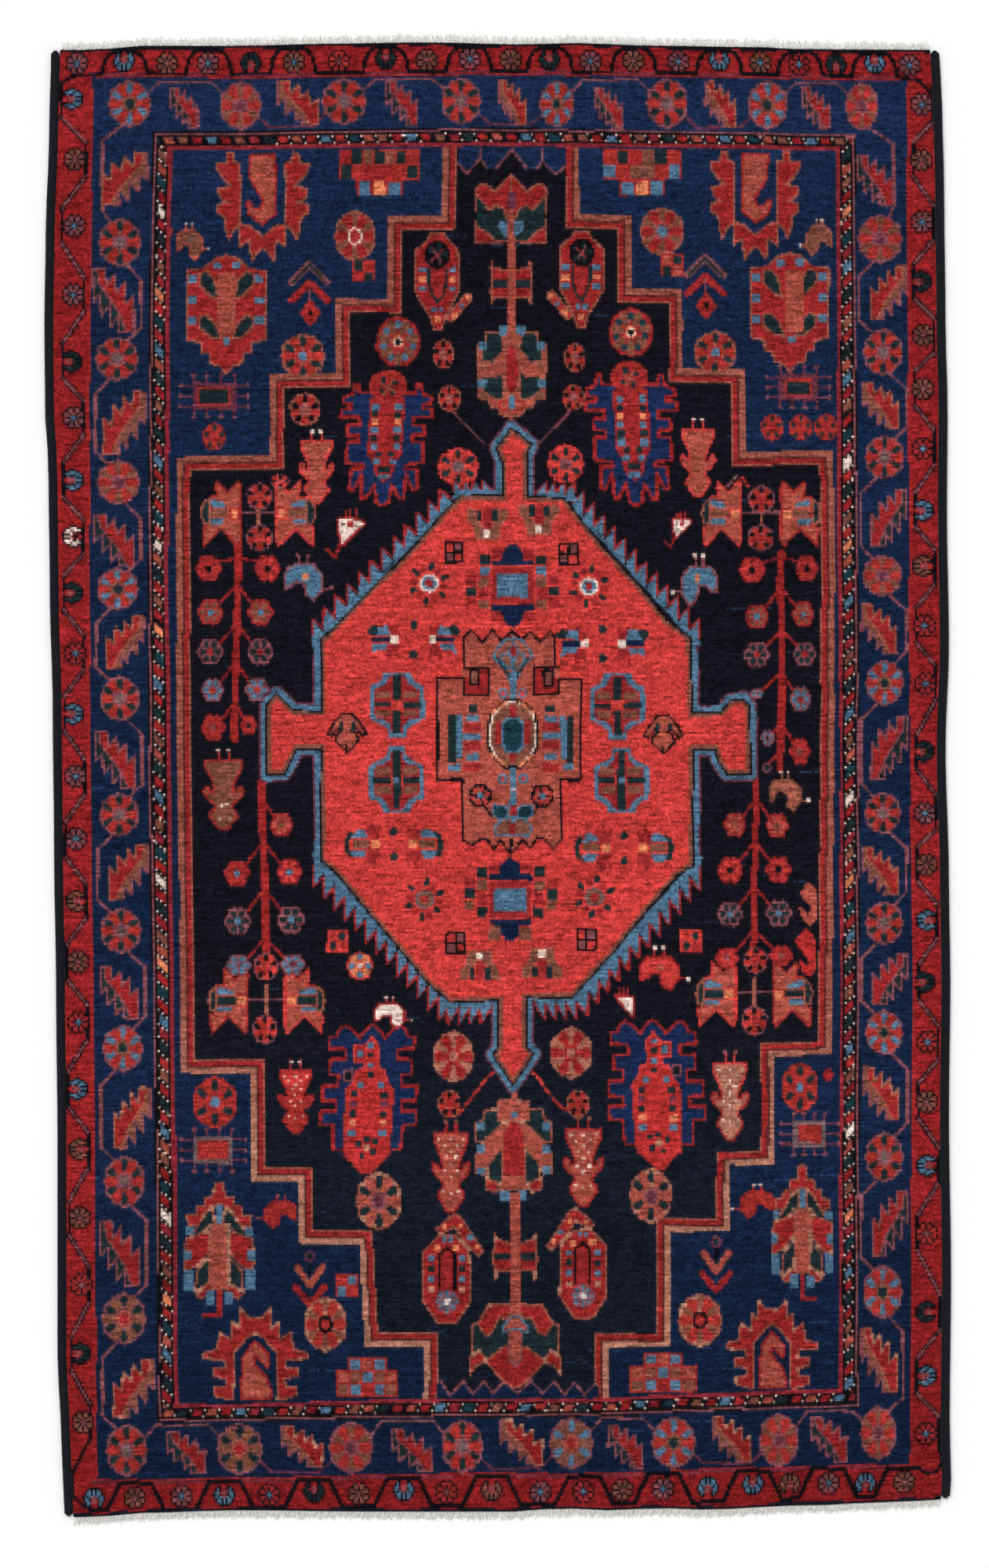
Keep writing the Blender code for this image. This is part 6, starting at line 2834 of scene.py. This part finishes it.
@dataclass
class Fringe:
    """An end's short frayed warps: a soft cream fleece of curling ends past the last rows of knots."""

    outline: Outline
    end: int
    strands: int = 760
    steps: int = 6
    reach: float = 0.0112
    reach_spread: float = 0.0028
    thickness: float = 0.0015
    curl: float = 0.0022
    drift: float = 0.0035  # how far a warp end may lean aside
    lifts: Point = (0.0008, 0.0046)  # how high a warp end may arch
    stagger: Point = (0.1, 0.9)  # where a warp end stands in its own share of the width
    turns: Point = (0.6, 1.6)  # of a warp end's curl
    kink: float = 0.10  # of its reach, as it bends to and fro
    root: float = 1.1  # its thickness where it leaves the cloth
    taper: float = 0.45  # how much thinner it is at its tip
    inset: float = 0.001  # from the fringe's solid to its outermost strands
    # The weft cords along the last knots: height, distance past the knots.
    headings: tuple[Point, ...] = ((0.0013, 0.0012), (0.0014, 0.0026), (0.0030, 0.0018))
    heading_steps: int = 260
    waver: Point = (0.00015, 0.0001)  # of a weft cord, sideways and up
    cord: float = 1.35  # a weft cord's thickness
    bead: float = 0.25  # how much thicker it is where it passes over a warp

    def build(self) -> bpy.types.Object:
        """Models the fringe as thin curling tubes.

        Returns:
            The fringe.
        """
        node = "fringe_top" if self.end > 0 else "fringe_bottom"
        low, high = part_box(node)[0][0] + self.inset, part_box(node)[1][0] - self.inset
        chance = np.random.default_rng(60 + self.end)
        curve = bpy.data.curves.new(f"{node}_ends", "CURVE")
        curve.dimensions = "3D"
        curve.bevel_depth = self.thickness / 2
        curve.bevel_resolution = 0
        curve.use_fill_caps = True
        for i in range(self.strands):
            x = low + (high - low) * (i + chance.uniform(*self.stagger)) / self.strands
            self.strand(curve, chance, x)
        for lift, away in self.headings:
            self.heading(curve, chance, low, high, lift, away)
        loose = bpy.data.objects.new(f"{node}_ends", curve)
        bpy.context.scene.collection.objects.link(loose)
        bpy.ops.object.select_all(action="DESELECT")
        loose.select_set(True)
        bpy.context.view_layer.objects.active = loose
        bpy.ops.object.convert(target="MESH")
        piece = bpy.context.active_object
        piece.data.materials.clear()
        piece.data.materials.append(WARP_COTTON.material())
        piece.data.shade_smooth()
        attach(piece, "root")
        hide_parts(node)
        return piece

    def strand(self, curve: bpy.types.Curve, chance: np.random.Generator, x: float) -> None:
        """Adds one warp end.

        Args:
            curve: The fringe's curve.
            chance: The random source.
            x: Where it leaves the cloth.
        """
        edge = float(self.outline.end_y(self.end, np.array(x)))
        reach = self.reach + self.reach_spread * chance.uniform(-1, 1)
        drift = chance.uniform(-1, 1) * self.drift
        phase, turns = chance.uniform(0, math.tau), chance.uniform(*self.turns)
        lift = chance.uniform(*self.lifts)
        spline = curve.splines.new("POLY")
        spline.points.add(self.steps)
        for step in range(self.steps + 1):
            share = step / self.steps
            swing = self.curl * share * math.sin(phase + turns * math.tau * share)
            out = self.end * reach * (share + self.kink * math.sin(phase + 5 * share) * share)
            z = max(BACK_HEIGHT * (1 - share) + lift * math.sin(math.pi * min(share * 1.1, 1)),
                    self.thickness / 2)
            spline.points[step].co = (x + drift * share + swing, edge + out, z, 1)
            spline.points[step].radius = self.root - self.taper * share

    def heading(self, curve: bpy.types.Curve, chance: np.random.Generator, low: float, high: float,
                lift: float, away: float) -> None:
        """Adds a weft cord along the last knots.

        Args:
            curve: The fringe's curve.
            chance: The random source.
            low: Its left end.
            high: Its right end.
            lift: Its height.
            away: How far it is past the knots.
        """
        spline = curve.splines.new("POLY")
        spline.points.add(self.heading_steps)
        for step in range(self.heading_steps + 1):
            x = low + (high - low) * step / self.heading_steps
            y = float(self.outline.end_y(self.end, np.array(x))) + self.end * away
            across, up = chance.normal(0, self.waver[0]), chance.normal(0, self.waver[1])
            spline.points[step].co = (x, y + across, lift + up, 1)
            spline.points[step].radius = self.cord + self.bead * (step % 2)


@dataclass(frozen=True)
class Studio:
    """A plain white floor under soft, even light, seen from straight above."""

    camera_height: float = 5.6
    floor_size: float = 14.0
    floor_drop: float = 0.0004  # under the rug
    floor_white: float = 0.97
    sky_light: float = 0.74
    key_light: float = 1.28
    key_spread: float = 35.0  # degrees
    key_lean: Point = (-38.0, -24.0)  # degrees from straight down
    sensor_mm: float = 36.0

    def build(self, outline: Outline) -> None:
        """Sets the floor, the lights and the camera.

        Args:
            outline: The rug's edge, which gives the drawing's place.
        """
        bpy.ops.object.select_all(action="DESELECT")
        bpy.ops.mesh.primitive_plane_add(size=self.floor_size, location=(0, 0, -self.floor_drop))
        floor = bpy.context.active_object
        floor.name = "studio_floor"
        material, _, shader = blank_material("matt_white_paper")
        shader.inputs["Base Color"].default_value = (self.floor_white, self.floor_white, self.floor_white, 1)
        shader.inputs["Roughness"].default_value = 1.0
        shader.inputs["Specular IOR Level"].default_value = 0.0
        floor.data.materials.append(material)
        world = bpy.data.worlds.new("soft_sky")
        world.use_nodes = True
        bpy.context.scene.world = world
        sky = world.node_tree.nodes["Background"]
        sky.inputs["Color"].default_value = (1, 1, 1, 1)
        sky.inputs["Strength"].default_value = self.sky_light
        key = bpy.data.lights.new("softbox", "SUN")
        key.energy, key.angle = self.key_light, math.radians(self.key_spread)
        lamp = bpy.data.objects.new("softbox", key)
        lamp.rotation_euler = (math.radians(self.key_lean[0]), math.radians(self.key_lean[1]), 0)
        bpy.context.scene.collection.objects.link(lamp)
        camera = bpy.data.cameras.new("camera")
        middle = (PICTURE[0] / 2 - DRAWING_LEFT) * UNIT, (DRAWING_TOP - PICTURE[1] / 2) * UNIT
        half = PICTURE[1] * UNIT / 2
        camera.sensor_width = self.sensor_mm
        camera.lens = self.sensor_mm / 2 * (self.camera_height - PILE_HEIGHT) / half
        eye = bpy.data.objects.new("camera", camera)
        eye.location = (middle[0] + outline.shift[0], middle[1] + outline.shift[1], self.camera_height)
        bpy.context.scene.collection.objects.link(eye)
        bpy.context.scene.camera = eye
        bpy.context.scene.view_settings.view_transform = "Standard"


def draw_chart(outline: Outline) -> Chart:
    """Draws the whole design.

    Args:
        outline: The rug's edge.

    Returns:
        The finished chart.
    """
    chart = Chart(outline)
    borders = Borders()
    borders.draw(chart)
    pen = Pen(chart)
    ground = chart.dye.copy()
    for part in (FieldFrame(), Corners(), UpperField(), SideField(), LowerField(), Medallion()):
        part.draw(pen)
    outside = ~borders.within(chart, Line.FIELD)
    chart.dye[outside] = ground[outside]
    for part in (OuterGuard(), MainBorder()):
        part.draw(pen)
    BarberGuard().draw(chart, borders)
    borders.edge_rows(chart)
    return chart


def main() -> None:
    """Builds the rug, piece by piece."""
    logging.basicConfig(level=logging.INFO, format="%(name)s: %(message)s")
    outline = Outline()
    chart = draw_chart(outline)
    LOG.info("chart of %d by %d knots", KNOTS_ACROSS, KNOTS_DOWN)
    cloth = PileCloth(outline, chart, DyeLotsAndShade().colours(chart))
    pieces = cloth.build()
    cloth.dress()
    trims = [Selvedge(outline, side).build() for side in (-1, 1)]
    trims += [Fringe(outline, end).build() for end in (1, -1)]
    for piece in pieces + trims:
        LOG.info("%s: %d faces", piece.name, len(piece.data.polygons))
    Studio().build(outline)
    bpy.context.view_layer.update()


if __name__ == "__main__":
    main()
